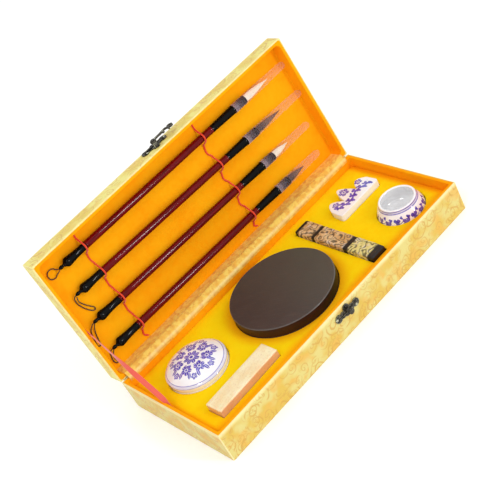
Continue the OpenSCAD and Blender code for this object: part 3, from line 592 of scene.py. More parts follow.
def glazeFinish(name, drawing):  # white porcelain with a blue drawing under the glaze
    f = Finish(name, rough=0.12, coat=0.9, coatRough=0.04, specular=0.5)
    blue = f.mix(f.clouds(300, 0.3, 0.72, 3, 0.6), "362AA4", "746CD4")
    amount = drawing(f)
    color = f.mix(f.clouds(1200, 0.74, 0.8, 1) * 0.25, f.mix(f.clouds(55, 0.35, 0.7), "FAFAFA", "F3F3F6"), "B8B4C8")
    return f.set(color=f.mix(amount, color, blue), normal=f.bump(f.noise(f.place, 160) + amount * 0.25, 0.05, 0.35))


def petals(f, radius, angle, size, count, turn=0.0):  # a filled flower with veins left white, about its own middle
    body = f.fade(radius / size - abs(f.sine((angle + turn) * (count / 2))) * 0.36, 0.66, 0.6)
    vein = f.fade(abs(f.sine((angle + turn) * count)), 0.1, 0.26)
    return body * (f.fade(radius / size, 0.3, 0.36) * vein + f.fade(radius / size, 0.24, 0.18))


def leaf(f, x, y, length, width):  # a pointed leaf along x with a white midrib
    share = x / (length * mm) * 2 - 1
    return f.fade(abs(y) / (width * mm) - (1 - share * share), 0.04, -0.04) * f.fade(abs(y), 0.00012, 0.00025)


def ringLine(f, height, at, half, strength, core=0.6):  # a painted ring round a piece
    return f.fade(abs(height - at * mm), half * mm, half * core * mm) * strength


def medallion(f):  # paste box lid: a rosette, two rows of seven blossoms, leaves and three rings round the side
    x, y, _ = f.about(pasteBox)
    radius, angle = f.polar(x, y)
    radius = radius + (f.noise(f.place, 260) - 0.5) * 0.0012
    marks = [petals(f, radius, angle, 8.2 * mm, 8)]
    for at, size, turn, spin in ((14.4, 5.5, 0.3, 0.0), (21.2, 3.2, 0.9, pi / 7)):
        local = f.wrapped(angle + spin, 2 * pi / 7)
        r, a = f.polar(radius * f.maths("COSINE", local) - at * mm, radius * f.sine(local))
        marks.append(petals(f, r, a, size * mm, 5, turn))
    local = f.wrapped(angle + pi / 14, pi / 7)
    marks += [leaf(f, radius - at * mm, radius * local, *size) for at, *size in ((16.4, 7.0, 1.5), (8.6, 4.4, 1.1))]
    height = f.split(f.place)[2] - (pasteBox["z"] + pasteBox["bottom"]) * mm
    marks += [ringLine(f, height, *ring) for ring in ((6.3, 0.3, 0.75), (4.4, 0.3, 0.75), (5.3, 1.0, 0.22))]
    return f.most(*marks)


def plainRings(f):  # paste box, bottom half: one fine ring near its foot
    return ringLine(f, f.split(f.place)[2], pasteBox["z"] + 4.2, 0.3, 0.7, 0.5)


def dishBand(f):  # water dish: two rings under the mouth, and leaves and berries round the belly
    x, y, z = f.about(waterDish, waterDish["z"])
    angle = f.polar(x, y)[1]
    rings = [ringLine(f, z, *ring) for ring in ((22.7, 0.6, 0.85), (20.9, 0.6, 0.85), (21.8, 0.9, 0.3))]
    local = f.wrapped(angle, pi / 4) * 23.0 * mm
    wobble = (f.noise(f.place, 330) - 0.5) * 0.0022
    marks = []
    for px, pz, size, count, turn in ((-4.8, 14.2, 3.6, 3, 0.5), (3.8, 11.8, 4.2, 4, 0.2), (0.2, 17.2, 1.7, 3, 0.0),
                                      (7.2, 15.8, 2.0, 3, 0.8)):
        r, a = f.polar(local - px * mm, z - pz * mm)
        marks.append(f.fade((r + wobble) / (size * mm) - abs(f.sine((a + turn) * (count / 2))) * 0.5, 0.56, 0.46))
    stem = f.fade(abs(z - 13.2 * mm - f.sine(local * 320) * 0.0016), 0.42 * mm, 0.26 * mm)
    marks.append(stem * f.fade(abs(local), 6.2 * mm, 5.4 * mm))
    return f.most(*marks, f.most(*rings)) * f.painted("outside")


def restScroll(f):  # brush rest: a vine with leaves and blossoms along its middle
    x, y, z = f.about(brushRest)
    across = y - (9.2 * mm + f.sine(x * 230) * 0.0022) + (f.noise(f.place, 320) - 0.5) * 0.0016
    marks = [f.fade(abs(across), 1.3 * mm, 1.0 * mm) * f.fade(abs(x), 22.5 * mm, 21.5 * mm)]
    local = f.wrapped(x, 6.4 * mm)
    for along, side, size in ((-0.8, 2.8, 2.8), (1.6, -2.4, 2.3)):
        r, a = f.polar(local - along * mm, across - side * mm)
        mark = f.fade(r / (size * mm) - abs(f.sine(a * 1.5 + 0.7)) * 0.5, 0.6, 0.48)
        marks.append(mark * f.fade(abs(x), 23 * mm, 22 * mm))
    for peak, high, size in ((-17.2, 17.4, 3.3), (0.0, 22.6, 4.6), (17.2, 18.6, 3.5)):
        marks.append(petals(f, *f.polar(x - peak * mm, y - high * mm), size * 1.25 * mm, 5, 0.4))
    return f.most(*marks) * f.fade(z, (brushRest["z"] + 5.5) * mm, (brushRest["z"] + 6.5) * mm)


def sealStoneFinish():
    f = Finish("seal_stone", rough=0.34, coat=0.2, coatRough=0.2, subsurface=0.12, subsurfaceScale=0.004, specular=0.4)
    cloud = f.clouds(45, 0.32, 0.68, 4, 0.6, at=f.stretch(f.place, (1, 2.2, 2.2), 0.3))
    vein = f.fade(f.cells(f.place, 90, "DISTANCE_TO_EDGE"), 0.02, 0.0)
    speck = f.clouds(700, 0.56, 0.68, 3, 0.6)
    tick = f.clouds(420, 0.6, 0.68, at=f.stretch(f.place, (1, 5, 5), 0.9))
    color = f.mix(vein * 0.12, f.mix(cloud, "FCF2CC", "F4DEAC"), "D8A878")
    # painted shade: the sides darker and browner than the top
    color = f.mix(f.painted("side") * 0.65, color, "D89C6C")
    color = f.mix(speck * 0.25 + tick * 0.35, color, "C89C68")
    return f.set(color=color, rough=f.fade(speck, 0, 1, 0.3, 0.5), normal=f.bump(speck * -0.6 + cloud * 0.4, 0.08, 0.5))


def inkFinish():
    f = Finish("gilt_ink", rough=0.5, specular=0.4)
    gilt = f.painted("gilt")
    dust = f.noise(f.place, 1500)
    gold = f.mix(f.painted("pale"), f.mix(f.clouds(110, 0.35, 0.65), "D2A66C", "EACA98"), "E2D486")
    # painted highlights: whitish patches on the gilt
    gold = f.mix(f.clouds(170, 0.54, 0.7) * 0.6, gold, "E8DCD0")
    black = f.mix(f.fade(dust, 0.4, 0.7), "120D0B", "2A201A")
    amount = gilt * f.fade(f.clouds(420, 0.28, 0.52, 3, 0.65), 0.0, 0.5, 0.25, 1.0)
    return f.set(color=f.mix(amount, black, gold), metal=amount * 0.25, rough=f.fade(dust, 0.3, 0.7, 0.42, 0.62),
                 normal=f.bump(dust * 0.4 + gilt * 0.4, 0.1, 0.6))


def bronzeFinish():
    f = Finish("antique_bronze", specular=0.5)
    patina = f.clouds(420, 0.35, 0.65, 4, 0.65)
    rub = f.clouds(900, 0.5, 0.7, 3)
    # the edge mask mixes towards C2C2AC: rubbed edges, partly painted highlight
    color = f.mix(f.fade(rub * 0.35 + f.painted("edge"), 0.1, 0.9), f.mix(patina, "262320", "524E46"), "C2C2AC")
    return f.set(color=color, metal=f.fade(patina, 0, 1, 0.8, 0.55), rough=f.fade(patina, 0, 1, 0.34, 0.56),
                 normal=f.bump(patina * 0.7 + rub * 0.3, 0.1, 0.6))


def paperFinish():
    f = Finish("board_paper", rough=0.9, specular=0.2)
    fibre = f.clouds(320, 0.3, 0.7, 3, at=f.stretch(f.place, (1, 6, 6)))
    color = f.mix(f.clouds(1800, 0.62, 0.72, 1) * 0.4, f.mix(fibre, "D8CBA8", "C9BA94"), "A89878")
    return f.set(color=color, normal=f.bump(fibre, 0.08, 0.5))


def pasteFinish():
    f = Finish("seal_paste", rough=0.45, coat=0.3, coatRough=0.3)
    lump = f.noise(f.place, 240, 4, 0.6)
    return f.set(color=f.mix(f.fade(lump, 0.3, 0.7), "A81A10", "CC3018"), rough=f.fade(lump, 0.3, 0.7, 0.3, 0.6),
                 normal=f.bump(lump, 0.6, 0.8))


inkStone = {"x": -8.0, "y": 3.0, "z": 11.0, "radius": 51.5, "height": 10.0, "rim": 6.0, "chamfer": 0.8}
pasteBox = {"x": -109.0, "y": 21.0, "z": 9.5, "radius": 30.0, "bottom": 12.0, "side": 5.0, "dome": 8.5, "wall": 2.6,
            "lip": 1.8}
waterDish = {"x": 123.0, "y": -29.0, "z": 9.0, "belly": 23.5, "mouth": 18.25, "foot": 14.0, "height": 24.0, "wall": 2.2}
brushRest = {"x": 116.0, "y": 15.0, "z": 18.5, "length": 54.0, "peaks": (0.72, 1, 0.78), "peak": 32.0, "foot": 13.0,
             "thickness": 9.0, "rounding": 2.5, "corner": 3}

# one brocade in three copies whose tones are painted light and shade: paler and yellower on the lid, deeper on the
# base, more orange on the hinge strip
baseBrocadePaintedShade = brocadeFinish("base_brocade_cloth_painted_shade", "DEBA4C", "E0D07E", "E6B44E", 0.65, 0.8)
lidBrocadePaintedLight = brocadeFinish("lid_brocade_cloth_painted_light", "E6CA56", "F0E480", "ECCC64", 0.45, 0.7)
hingeBrocadePaintedLight = brocadeFinish("hinge_brocade_cloth_painted_light", "EEB03A", "F8CE58", "E09A30", 0.35, 0.12, 170)
orangeVelvet = velvetFinish("orange_velvet", "FFAE08", "FF9A02", "FFBC18")
# yellow velvet, with painted shade along the insert's walls and round the ink stone
yellowVelvet = velvetFinish("yellow_velvet", "FFDC08", "FFCE02", "FFE61C", insertPaintedShade)
lacquer, horn, clearCap = lacquerFinish(), hornFinish(), capFinish()
whiteHair = hairFinish("white_hair", "FCF8E8", "FAF4DE", "EEE2C4")
brownHair = hairFinish("brown_hair", "54423A", "8E6A50", "4E2C1E")
darkThread = cordFinish("dark_thread", "4A2A20", "1E100C", 1.6, 2)
elasticCord = cordFinish("elastic_cord", "F24A22", "D42614", 1.3, 3)
satinRibbon, slate, sealMarble = ribbonFinish(), slateFinish(), sealStoneFinish()
giltInk, bronze, boardPaper, redPaste = inkFinish(), bronzeFinish(), paperFinish(), pasteFinish()
lidGlaze, bottomGlaze = glazeFinish("paste_lid_glaze", medallion), glazeFinish("paste_box_glaze", plainRings)
dishGlaze, restGlaze = glazeFinish("dish_glaze", dishBand), glazeFinish("rest_glaze", restScroll)
print("materials mixed")


# ---- brushes: each lies along the lid, its own z axis along the box
brushes = {
    "v": (115.6, 84.5, 53.4, 22.3), "h": 10.0, "skew": (0.8, 1.6, 1.5, 1.1),
    "tail": (-139.0, -141.4, -144.0, -144.7), "tailLength": 32.0, "handleLength": 161.9, "handleRadius": 3.5,
    "ferruleLength": (45.0, 41.0, 44.5, 45.0), "ferruleRadius": 4.3, "tuftLength": (33.0, 33.0, 21.0, 23.0),
    "tuftRadius": 3.2, "capEnd": (155.9, 155.9, 145.5, 139.5), "capGrip": 15.0, "capWall": 0.35, "capTip": 3.7,
    "capRound": 5, "bead": 0.18,
}
threads = {
    "radius": 0.5, "gap": -0.3, "velvet": 15.05,
    "routes": (
        ((0, 0), (-1.5, 0.4), (-4, 3.2), (-8.5, 3.6), (-11, 0.5), (-10, -4), (-6, -5.6), (-2.4, -3.6), (-0.4, -1.4)),
        ((0, 0), (-2.4, -2.5), (-2.8, -8), (-1.2, -14), (1.8, -20), (5, -24), (7.4, -24.6), (7.6, -22), (4.6, -18),
         (1.2, -12.5), (-0.9, -7), (-0.4, -1.8)),
        ((0, 0), (-3.4, -3), (-6.2, -8), (-7.8, -15), (-8.6, -20), (-8.2, -22.6), (-6.8, -23.2), (-5.6, -21),
         (-3.8, -13), (-1.8, -6), (0.2, -1.4)),
        ((0, 0), (-2.2, -2), (-4.2, -6.5), (-5.2, -12), (-3.6, -15.6), (-1.6, -14.8), (-2.6, -11), (-1.6, -6),
         (0.3, -1.4)),
    ),
}


def onLid(points):
    return [lidTurn @ (Vector(point) * mm) / mm for point in points]


def threadLine(i):  # the loop from the tail's bead down the lid and back
    skew, tail = radians(brushes["skew"][i]), brushes["tail"][i]
    bead = Vector((tail * cos(skew), tail * sin(skew) - brushes["v"][i], brushes["h"]))
    route = smoothLine([(x, -v) for x, v in threads["routes"][i]], 6)
    drop = threads["velvet"] - 2 * threads["radius"] - brushes["h"]
    sinks = [drop * min(1, 2 * sin(pi * k / (len(route) - 1))) for k in range(len(route))]
    return onLid([bead + Vector((point.x - threads["gap"], point.y, sink)) for point, sink in zip(route, sinks)])


for i in range(4):
    line = threadLine(i)
    loop = tube(f"brush_{i + 1}_hanging_thread", line, threads["radius"], 12)
    seat(loop, f"brush_{i + 1}", darkThread, "thread", f"brush_{i + 1}_thread")
    seatCord(line)
    print(f"thread {i + 1}: {lengthOf(line):.1f} mm")


def brushTurn(i, along):
    return (lidTurn @ shift(0, -brushes["v"][i], brushes["h"]) @ turn(brushes["skew"][i], "Z") @ turn(90, "Y")
            @ shift(0, 0, along))


tuft = {"strands": 130, "thick": 0.27, "turn": 137.508, "core": 0.86, "steps": 16,
        "taper": ((0, 1.0), (0.2, 1.02), (0.42, 0.88), (0.66, 0.62), (0.82, 0.38), (0.93, 0.2), (1, 0.08))}


def tuftWidth(share):
    for (low, a), (high, b) in zip(tuft["taper"], tuft["taper"][1:]):
        if share <= high:
            return a + (b - a) * smoothStep(share, low, high) * 0.5 + (b - a) * (share - low) / (high - low) * 0.5


def tuftPiece(i):  # starched hair: strands that gather to a point about a slimmer core
    length, radius, thick, steps = brushes["tuftLength"][i], brushes["tuftRadius"], tuft["thick"], tuft["steps"]
    outline = [(radius, -3.6), (radius, 0)]
    outline += [(radius * tuft["core"] * tuftWidth(k / steps), length * 0.97 * k / steps) for k in range(1, steps + 1)]
    piece = turned(f"brush_{i + 1}_hair", outline, 40)
    hairs = []
    for k in range(tuft["strands"]):
        share = 0.5 + 0.5 * sqrt((k + 0.5) / tuft["strands"])
        loose = noise.noise(Vector((k * 0.7, i * 3.1, 0.5)))
        reach = length * (1 - 0.05 * share - 0.05 * abs(loose))
        line = []
        for t in [step / 10 for step in range(11)]:
            out = max(radius * share * tuftWidth(t) * (1 + 0.10 * loose * sin(pi * t)) - thick * 0.4, 0.03)
            at = radians(tuft["turn"] * k) + 0.22 * t * sin(k * 2.3 + i)
            line.append(Vector((out * cos(at), out * sin(at), reach * t)))
        hairs.append(tube("hair", line, thick, 5, taper=lambda t: 1 - 0.72 * smoothStep(t, 0.45, 1)))
    onlySelect(piece, *hairs)
    bpy.ops.object.join()
    sway = Vector((0.35 * sin(i * 2.1), 0.35 * cos(i * 2.1), 0))
    movePoints(piece, lambda co: co + smoothStep(co.z, length * 0.5, length) * sway)

    def strand(face, vertex):  # round and along the tuft
        co = vertex.co / mm
        return atan2(co.y, co.x) / (2 * pi) + 0.5, co.z / length

    layCloth(piece, strand)
    return piece


def capPiece(i, start):  # a thin clear tube, closed and rounded at its tip, with a beaded mouth
    wall, grip, bead, end = brushes["capWall"], brushes["capGrip"], brushes["bead"], brushes["capRound"]
    length = brushes["capEnd"][i] - start + grip
    mouth, tip = brushes["ferruleRadius"] + 0.1, brushes["capTip"] - wall
    out = mouth + wall
    tipIn = [(tip * cos(a), length - end + (end - wall) * sin(a)) for a in [radians(k) for k in range(0, 90, 10)]]
    tipOut = [((tip + wall) * cos(a), length - end + end * sin(a)) for a in [radians(k) for k in range(80, -1, -10)]]
    outside = [(out, grip * 0.8), (out, 4.4), (out, 4.1), (out, 1.4), (out + bead, 1.1), (out + bead, 0.3), (out, 0.0)]
    outline = [(0.05, length)] + tipOut + outside + [(mouth + 0.06, 0.0), (mouth, 0.1), (mouth, grip * 0.8)] + tipIn
    piece = turned(f"brush_{i + 1}_clear_cap", outline + [(0.05, length - wall)], 48)
    paintPoints(piece, "mouth", lambda co: 1.6 if co.z < 1.3 else 1.0 if co.z < 4.2 else 0.0)
    return piece


tailOutline = smoothLine([(3.5, 0), (3.5, -8), (3.8, -14.4), (4.5, -21.1), (4.18, -23.4), (2.25, -25.6), (1.4, -27.2),
                          (1.75, -28.8), (1.5, -30.7), (0.5, -32)], 5)
handleOutline = [(0.05, 0), (3.3, 0), (3.48, 0.2), (3.5, 0.6), (3.5, 2.2), (3.42, 2.4), (3.42, 2.7), (3.5, 2.9)]
handleOutline += [(3.5 + 0.05 * sin(pi * k / 12), 2.9 + 156.1 * k / 12) for k in range(1, 12)]
handleOutline += [(3.5, 159.0), (3.42, 159.2), (3.42, 159.5), (3.5, 159.7), (3.5, 161.3), (3.48, 161.7), (3.3, 161.9)]
tailModel, handleModel = turned("tail_model", tailOutline, 56), turned("handle_model", handleOutline, 56)
for i in range(4):
    body = f"brush_{i + 1}"
    handleAt = brushes["tail"][i] + brushes["tailLength"]
    ferruleAt = handleAt + brushes["handleLength"]
    l = brushes["ferruleLength"][i]
    tuftAt = ferruleAt + l
    tail, handle = copyOf(tailModel, f"{body}_horn_tail"), copyOf(handleModel, f"{body}_lacquered_handle")
    seat(tail, body, horn, "horn", f"{body}_tail", at=brushTurn(i, handleAt), shade=50)
    seat(handle, body, lacquer, "lacquer", f"{body}_handle", at=brushTurn(i, handleAt), shade=50)
    outline = smoothLine([(3.5, 0), (3.62, l * 0.05), (3.6, l * 0.12), (4.15, l - 17), (4.3, l - 15), (4.3, l - 1.2),
                          (3.8, l - 0.1)], 5) + [(3.25, l), (3.2, l - 3.8)]
    ferrule = turned(f"{body}_horn_ferrule", outline, 56)
    seat(ferrule, body, horn, "horn", f"{body}_ferrule", at=brushTurn(i, ferruleAt), shade=40)
    hair, hairSlot = (brownHair, "brown_hair") if i % 2 else (whiteHair, "white_hair")
    seat(tuftPiece(i), body, hair, hairSlot, f"{body}_tuft", at=brushTurn(i, tuftAt), shade=60)
    capAt = brushTurn(i, tuftAt - brushes["capGrip"])
    seat(capPiece(i, tuftAt), body, clearCap, "clear_cap", f"{body}_cap", at=capAt, shade=40)
for model in (tailModel, handleModel):
    bpy.data.objects.remove(model)
print("brushes laid in the lid")


# ---- elastic cord: loops over the handles, and loose runs between
elastic = {"radius": 0.8, "h": 14.25, "rows": (-108.9, 42.9), "drift": (-1.2, -3.0), "tail": -3.0, "ends": (135.1, 6.6),
           "sway": (0.5, 0.66, 0.82, 0.95, 1, 0.9, 0.65, 0.3, 0), "foot": 9.5, "gap": 0.3, "lean": 50, "dip": 0.4}


def elasticRun(start, end, x, drift):
    sway, h = elastic["sway"], elastic["h"]
    points = [(x + drift * share, -start + (start - end) * k / 8, h) for k, share in enumerate(sway)]
    return tube("run", smoothLine(onLid(points), 3), elastic["radius"])


for row in (0, 1):
    x, foot, (back, front) = elastic["rows"][row], elastic["foot"], elastic["ends"]
    places = [brushes["v"][i] - x * sin(radians(brushes["skew"][i])) for i in range(4)]
    drifts = [elastic["drift"][row]] * 3 + [elastic["tail"]]
    spans = zip([back] + [v - foot for v in places], [v + foot for v in places] + [front], [0] + drifts)
    runs = [elasticRun(start, end, x, drift) for start, end, drift in spans]
    onlySelect(*runs)
    bpy.ops.object.join()
    runs[0].name = f"elastic_row_{row + 1}"
    seat(runs[0], "lid", elasticCord, "elastic", *([] if row else ["elastic_runs"]))
    for i, v in enumerate(places):
        h, r, dip = elastic["h"], brushes["handleRadius"] + elastic["gap"] + elastic["radius"], elastic["dip"]
        leans = [radians(elastic["lean"] * k / 4) for k in range(-4, 5)]
        over = [(d - foot, h - dip * d * (d - 0.5)) for d in (0, 0.5, 1.4)]
        over += [(r * sin(a), brushes["h"] - r * cos(a)) for a in leans]
        over += [(foot - d, h - dip * d * (d - 0.5)) for d in (1.4, 0.5, 0)]
        lean = drifts[i] * elastic["sway"][0]
        points = [(x + lean * ((y + foot) / (2 * foot)) ** 2, y - v, z) for y, z in over]
        loop = tube(f"elastic_loop_{row + 1}_{i + 1}", smoothLine(onLid(points), 4), elastic["radius"])
        start, end = onLid([(x, -v, h - 0.4), (x, -v, brushes["h"] + 0.6)])
        f"brush_{i + 1}"
        start * mm
        end * mm
        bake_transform(loop)
        seat(loop, None, elasticCord, "elastic", *([] if row or i else ["elastic_loops"]))
print("elastic threaded")


# ---- hinge cloths and stay ribbon
hingeCloth = {"thickness": 0.4, "seat": 4.47, "crest": 32.4, "off": 0.37, "columns": 260, "rim": 31.5}


def strip(name, points, half, bodies, node, amplitude, finish):
    profile = smoothLine(points, 5)[::-1]

    def pucker(x, at, whole):
        fold = noise.noise(Vector((x * 0.16, at * 0.12, 3.1))) + 0.5 * noise.noise(Vector((x * 0.45, at * 0.3, 8.7)))
        return amplitude * sin(pi * min(1, at / whole)) ** 2 * fold

    piece = clothSheet(name, profile, -half, half, hingeCloth["columns"], pucker, hingeCloth["thickness"])
    crest = max(profile, key=lambda point: -abs(point.y - hingeCloth["crest"]))

    # painted highlight mask: a pale line along the inner strip's crest, and 0.4 all over the outer strip
    def fold(co):
        return 1 - smoothStep(hypot(co.y - crest.x, co.z - crest.y), 0.9, 2.4) if bodies[0] == "lid" else 0.4

    paintPoints(piece, "fold", fold)
    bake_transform(piece)
    seat(piece, None, finish, "brocade", node)
    lengthOf(profile) * mm


innerPoints = [lidPoint(hingeCloth["seat"], h) for h in (14.45, 9.03, 5, 2.6)]
innerPoints += [lidPoint(hingeCloth["seat"] + 0.5, 0.4), (67.4, 34.4), (65.6, 32.2), (65.53, 30.1), (65.53, 28.5)]
strip("inner_hinge_strip", innerPoints, 152.5, ("lid", "base"), "inner_hinge_cloth", 0.35,
      hingeBrocadePaintedLight)
outerPoints = [(hinge["y"] + hingeCloth["off"], hingeCloth["rim"] - d) for d in (11, 4.5, 2.4, 1.3)]
outerPoints += [lidPoint(-hingeCloth["off"], hinge["gap"] + h) for h in (1.3, 2.4, 4.5, 11)]
strip("outer_hinge_strip", outerPoints, 156.5, ("base", "lid"), "outer_hinge_cloth", 0.12,
      baseBrocadePaintedShade)

stayRibbon = {"x": -155.5, "width": 5.0, "thickness": 0.4, "base": (0.0, 27.5), "lid": (62.0, 4.15), "turn": 68,
              "bow": 0.12}
low, high = (Vector((stayRibbon["x"], *end)) for end in (stayRibbon["base"], lidPoint(*stayRibbon["lid"])))
ribbonLine = []
for t in [k / 60 for k in range(61)]:
    ribbonLine.append(low.lerp(high, t) + Vector((stayRibbon["bow"] * sin(t * 9) * sin(pi * t), 0, 0)))
ribbon = tube("satin_stay_ribbon", ribbonLine, stayRibbon["thickness"] / 2, 16, stayRibbon["width"],
              twist=lambda t: stayRibbon["turn"] * smoothStep(t, 0.02, 0.14) * (1 - smoothStep(t, 0.3, 0.75)))
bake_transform(ribbon)
seat(ribbon, None, satinRibbon, "ribbon", "stay_ribbon")
seatCord(ribbonLine)
print(f"hinge cloths and ribbon hung, ribbon {lengthOf(ribbonLine):.1f} mm")


# ---- the case: cloth wrapped over both trays, with soft edges
case = {"length": 320.0, "depth": 140.0, "base": 31.5, "lid": 19.0, "wall": 3.5, "rim": 1.2, "drop": 0.2, "edge": 0.7,
        "outerCorner": 1.2, "baseCorner": 2.5, "lidCorner": 5.0, "cut": 5.0, "ripple": 0.16, "cloth": 0.3, "back": 0.07}
quarter = [radians(a) for a in (0, 22.5, 45, 67.5, 90)]
# turned over, rim down, its back edge on the hinge line
lidOver = lidTurn @ Matrix.Translation((0, -case["back"], (hinge["gap"] + case["lid"]) * mm)) @ turn(180, "X")


def roundedRing(inset, corner, z):  # a rectangle with rounded corners, this far in from the case's sides
    x, y = case["length"] / 2 - inset, case["depth"] / 2 - inset
    corner = min(corner, y * 0.9)
    points = []
    for start, middle, after, side in ((0, (x - corner, y - corner), (-x + corner, y), "length"),
                                       (90, (corner - x, y - corner), (-x, -y + corner), "depth"),
                                       (180, (corner - x, corner - y), (x - corner, -y), "length"),
                                       (270, (x - corner, corner - y), (x, y - corner), "depth")):
        turns = [radians(start + 15 * k) for k in range(7)]
        points += [Vector((*middle, z)) + corner * Vector((cos(a), sin(a), 0)) for a in turns]
        last, steps = points[-1], round(case[side] / case["cut"])
        points += [last.lerp(Vector((*after, z)), k / steps) for k in range(1, steps)]
    return points


def bend(inset, height, across, up, turns=quarter):  # a quarter turn of a tray's side path
    return [(inset + across * (1 - cos(a)), height + up * (1 - sin(a))) for a in turns]


def trayPiece(name, path, reach, corner, closed, order):  # rings down a path of insets and heights
    outer = case["outerCorner"]
    rings = [roundedRing(inset, outer + (corner - outer) * min(1, inset / reach), z) for inset, z in path]
    return ringPiece(name, rings[::order], closed)


def clothTray(name, height, closed, corner):  # drawn with its rim up at z = height; closed keeps the far face
    edge, rim, drop, long, deep = (case[key] for key in ("edge", "rim", "drop", "length", "depth"))
    path = [(0.0, 0.0)] + [(0.0, edge + (height - 2 * edge) * k / 8) for k in range(9)]
    path += bend(0, height, edge, -edge, quarter[1:]) + bend(rim, height, -drop, -drop, quarter[::-1])
    path.append((rim, height - 0.9))
    if closed:
        path = [(deep / 2 * share, 0.0) for share in (0.86, 0.66, 0.46, 0.26, 0.1)] + [
            (edge * (1 - sin(a)), edge * (1 - cos(a))) for a in quarter[:-1]] + path[1:]
    piece = trayPiece(name, path, case["wall"], corner, closed, -1)

    def fromSides(face, vertex):  # flat in metres, from whichever side each face looks to
        axis = max(range(3), key=lambda k: abs(face.normal[k]))
        a, b = [(1, 2), (0, 2), (0, 1)][axis]
        return vertex.co[a] + 0.37 * axis, vertex.co[b] + 0.11 * axis

    # painted highlight mask: 1 along the case's folded outer edges and rim
    def fold(co):
        sides = (long / 2 - abs(co.x) < 1.1) + (deep / 2 - abs(co.y) < 1.1)
        return float(sides + (height - co.z < 0.8) + (closed and co.z < 0.8) >= 2)

    def ripple(co):
        inset = min(long / 2 - abs(co.x), deep / 2 - abs(co.y))
        push = min(0, case["ripple"] * noise.noise(Vector((co.x * 0.05, co.y * 0.05, co.z * 0.12)))) - 0.06
        push += 0.06 * noise.noise(co * 0.4)
        share = (1 - smoothStep(inset, 0.2, 1.2)) * smoothStep(height - co.z, 0.2, 2.0)
        axis = 0 if long / 2 - abs(co.x) < deep / 2 - abs(co.y) else 1
        co[axis] += copysign(1, co[axis]) * push * share
        if closed and co.z < 0.3:
            co.z -= push * smoothStep(inset, 0.5, 4.0)
        return co

    layCloth(piece, fromSides)
    paintPoints(piece, "fold", fold)
    movePoints(piece, ripple)
    finishModifier(piece, "SOLIDIFY", thickness=case["cloth"] * mm, offset=-1)
    roundShade(piece, 40)
    return piece


baseCloth = clothTray("base_brocade_cover", case["base"], False, case["baseCorner"])
seat(baseCloth, "base", baseBrocadePaintedShade, "brocade", "base_brocade")
lidCloth = clothTray("lid_brocade_cover", case["lid"], True, case["lidCorner"])
seat(lidCloth, "lid", lidBrocadePaintedLight, "brocade", "lid_brocade", at=lidOver)
print("case wrapped")

lining = {"inner": 4.1, "rim": 1.25, "lip": 0.3, "roll": 0.6, "drop": 0.12, "thickness": 0.5, "fillet": 0.9,
          "baseFloor": 3.5, "lidFloor": 4.1}


def velvetTray(name, height, floor, closed, corner):  # rim up, rolled over the wall's edge to meet the brocade
    inner, rim, lip, roll, top = lining["inner"], lining["rim"], lining["lip"], lining["roll"], height - lining["drop"]
    fillet = lining["fillet"] if closed else 0
    path = bend(rim, top, lip, -lip) + bend(inner, top, -roll, -roll, quarter[::-1])
    path += [(inner, floor + fillet + (top - roll - floor - fillet) * share) for share in (0.75, 0.5, 0.25)]
    if closed:
        shares = (0.12, 0.24, 0.36, 0.48, 0.6, 0.72, 0.84, 0.94)
        path += bend(inner, floor, fillet, fillet) + [(inner + (case["depth"] / 2 - inner) * k, floor) for k in shares]
    else:
        path.append((inner, floor))
    piece = trayPiece(name, path, inner, corner, closed, 1)

    def onWall(face):  # highest for a face in the middle of the right wall
        x, y, z = face.center
        return abs(face.normal.x) * (x > 0) - abs(y) - abs(z / mm - floor - 6) / 99

    if max(piece.data.polygons, key=onWall).normal.x < 0:
        piece.data.flip_normals()

    def soft(co):  # the pile on the lid's floor is never quite flat
        if closed and co.z < floor + 0.05:
            co.z += 0.1 * smoothStep(noise.noise(Vector((co.x * 0.03, co.y * 0.05, 1.7))), -0.3, 0.6)
        return co

    movePoints(piece, soft)
    finishModifier(piece, "SOLIDIFY", thickness=lining["thickness"] * mm, offset=1)
    roundShade(piece, 50)
    return piece


baseVelvet = velvetTray("base_velvet_walls", case["base"], lining["baseFloor"], False, case["baseCorner"])
seat(baseVelvet, "base", orangeVelvet, "velvet_orange", "base_lining")
lidVelvet = velvetTray("lid_velvet_lining", case["lid"], lining["lidFloor"], True, case["lidCorner"])
seat(lidVelvet, "lid", orangeVelvet, "velvet_orange", "lid_lining", at=lidOver)
insert = mergedCopy("insert", "velvet_insert")
bevelSharp(insert, 0.5, 3)
seat(insert, "base", yellowVelvet, "velvet_yellow", "insert", shade=40)
print("velvet laid")


# ---- latch
def raisedRim(piece, direction):  # the plate's face is set back inside a narrow rim
    front = max(v.co.dot(direction) for v in piece.data.vertices)
    with editing(piece):
        if choose(piece, "FACE", lambda f: f.normal.dot(direction) > 0.98 and f.calc_area() > 4e-6
                  and f.calc_center_median().dot(direction) < front + 1e-5):
            bpy.ops.mesh.inset(thickness=0.8 * mm, depth=-0.4 * mm, use_boundary=True, use_even_offset=True)


def metalPiece(node, body, width, outward=None, wearAndHighlight=1.0, name=None):  # outward: which way a plate with a rim looks
    piece = mergedCopy(node, name or f"bronze_{node}")
    if outward:
        raisedRim(piece, outward)
    bevelSharp(piece, width)
    around = [[] for _ in piece.data.vertices]
    for face in piece.data.polygons:
        for k in face.vertices:
            around[k].append(face.normal.copy())
    front = max(vertex.co.dot(outward) for vertex in piece.data.vertices) if outward else 0
    # edge mask: sharp edges and the plate's front rim, partly rubbing and partly painted highlight
    edges = []
    for vertex, normals in zip(piece.data.vertices, around):
        mean = sum(normals, Vector()) / max(1, len(normals))
        raised = 0.4 if outward and vertex.co.dot(outward) > front - 0.12 * mm else 0
        edges.append(max(raised, wearAndHighlight * (1 - smoothStep(mean.length, 0.82, 0.99))))
    paint(piece, "edge", edges)
    seat(piece, body, bronze, "bronze", node, shade=35)


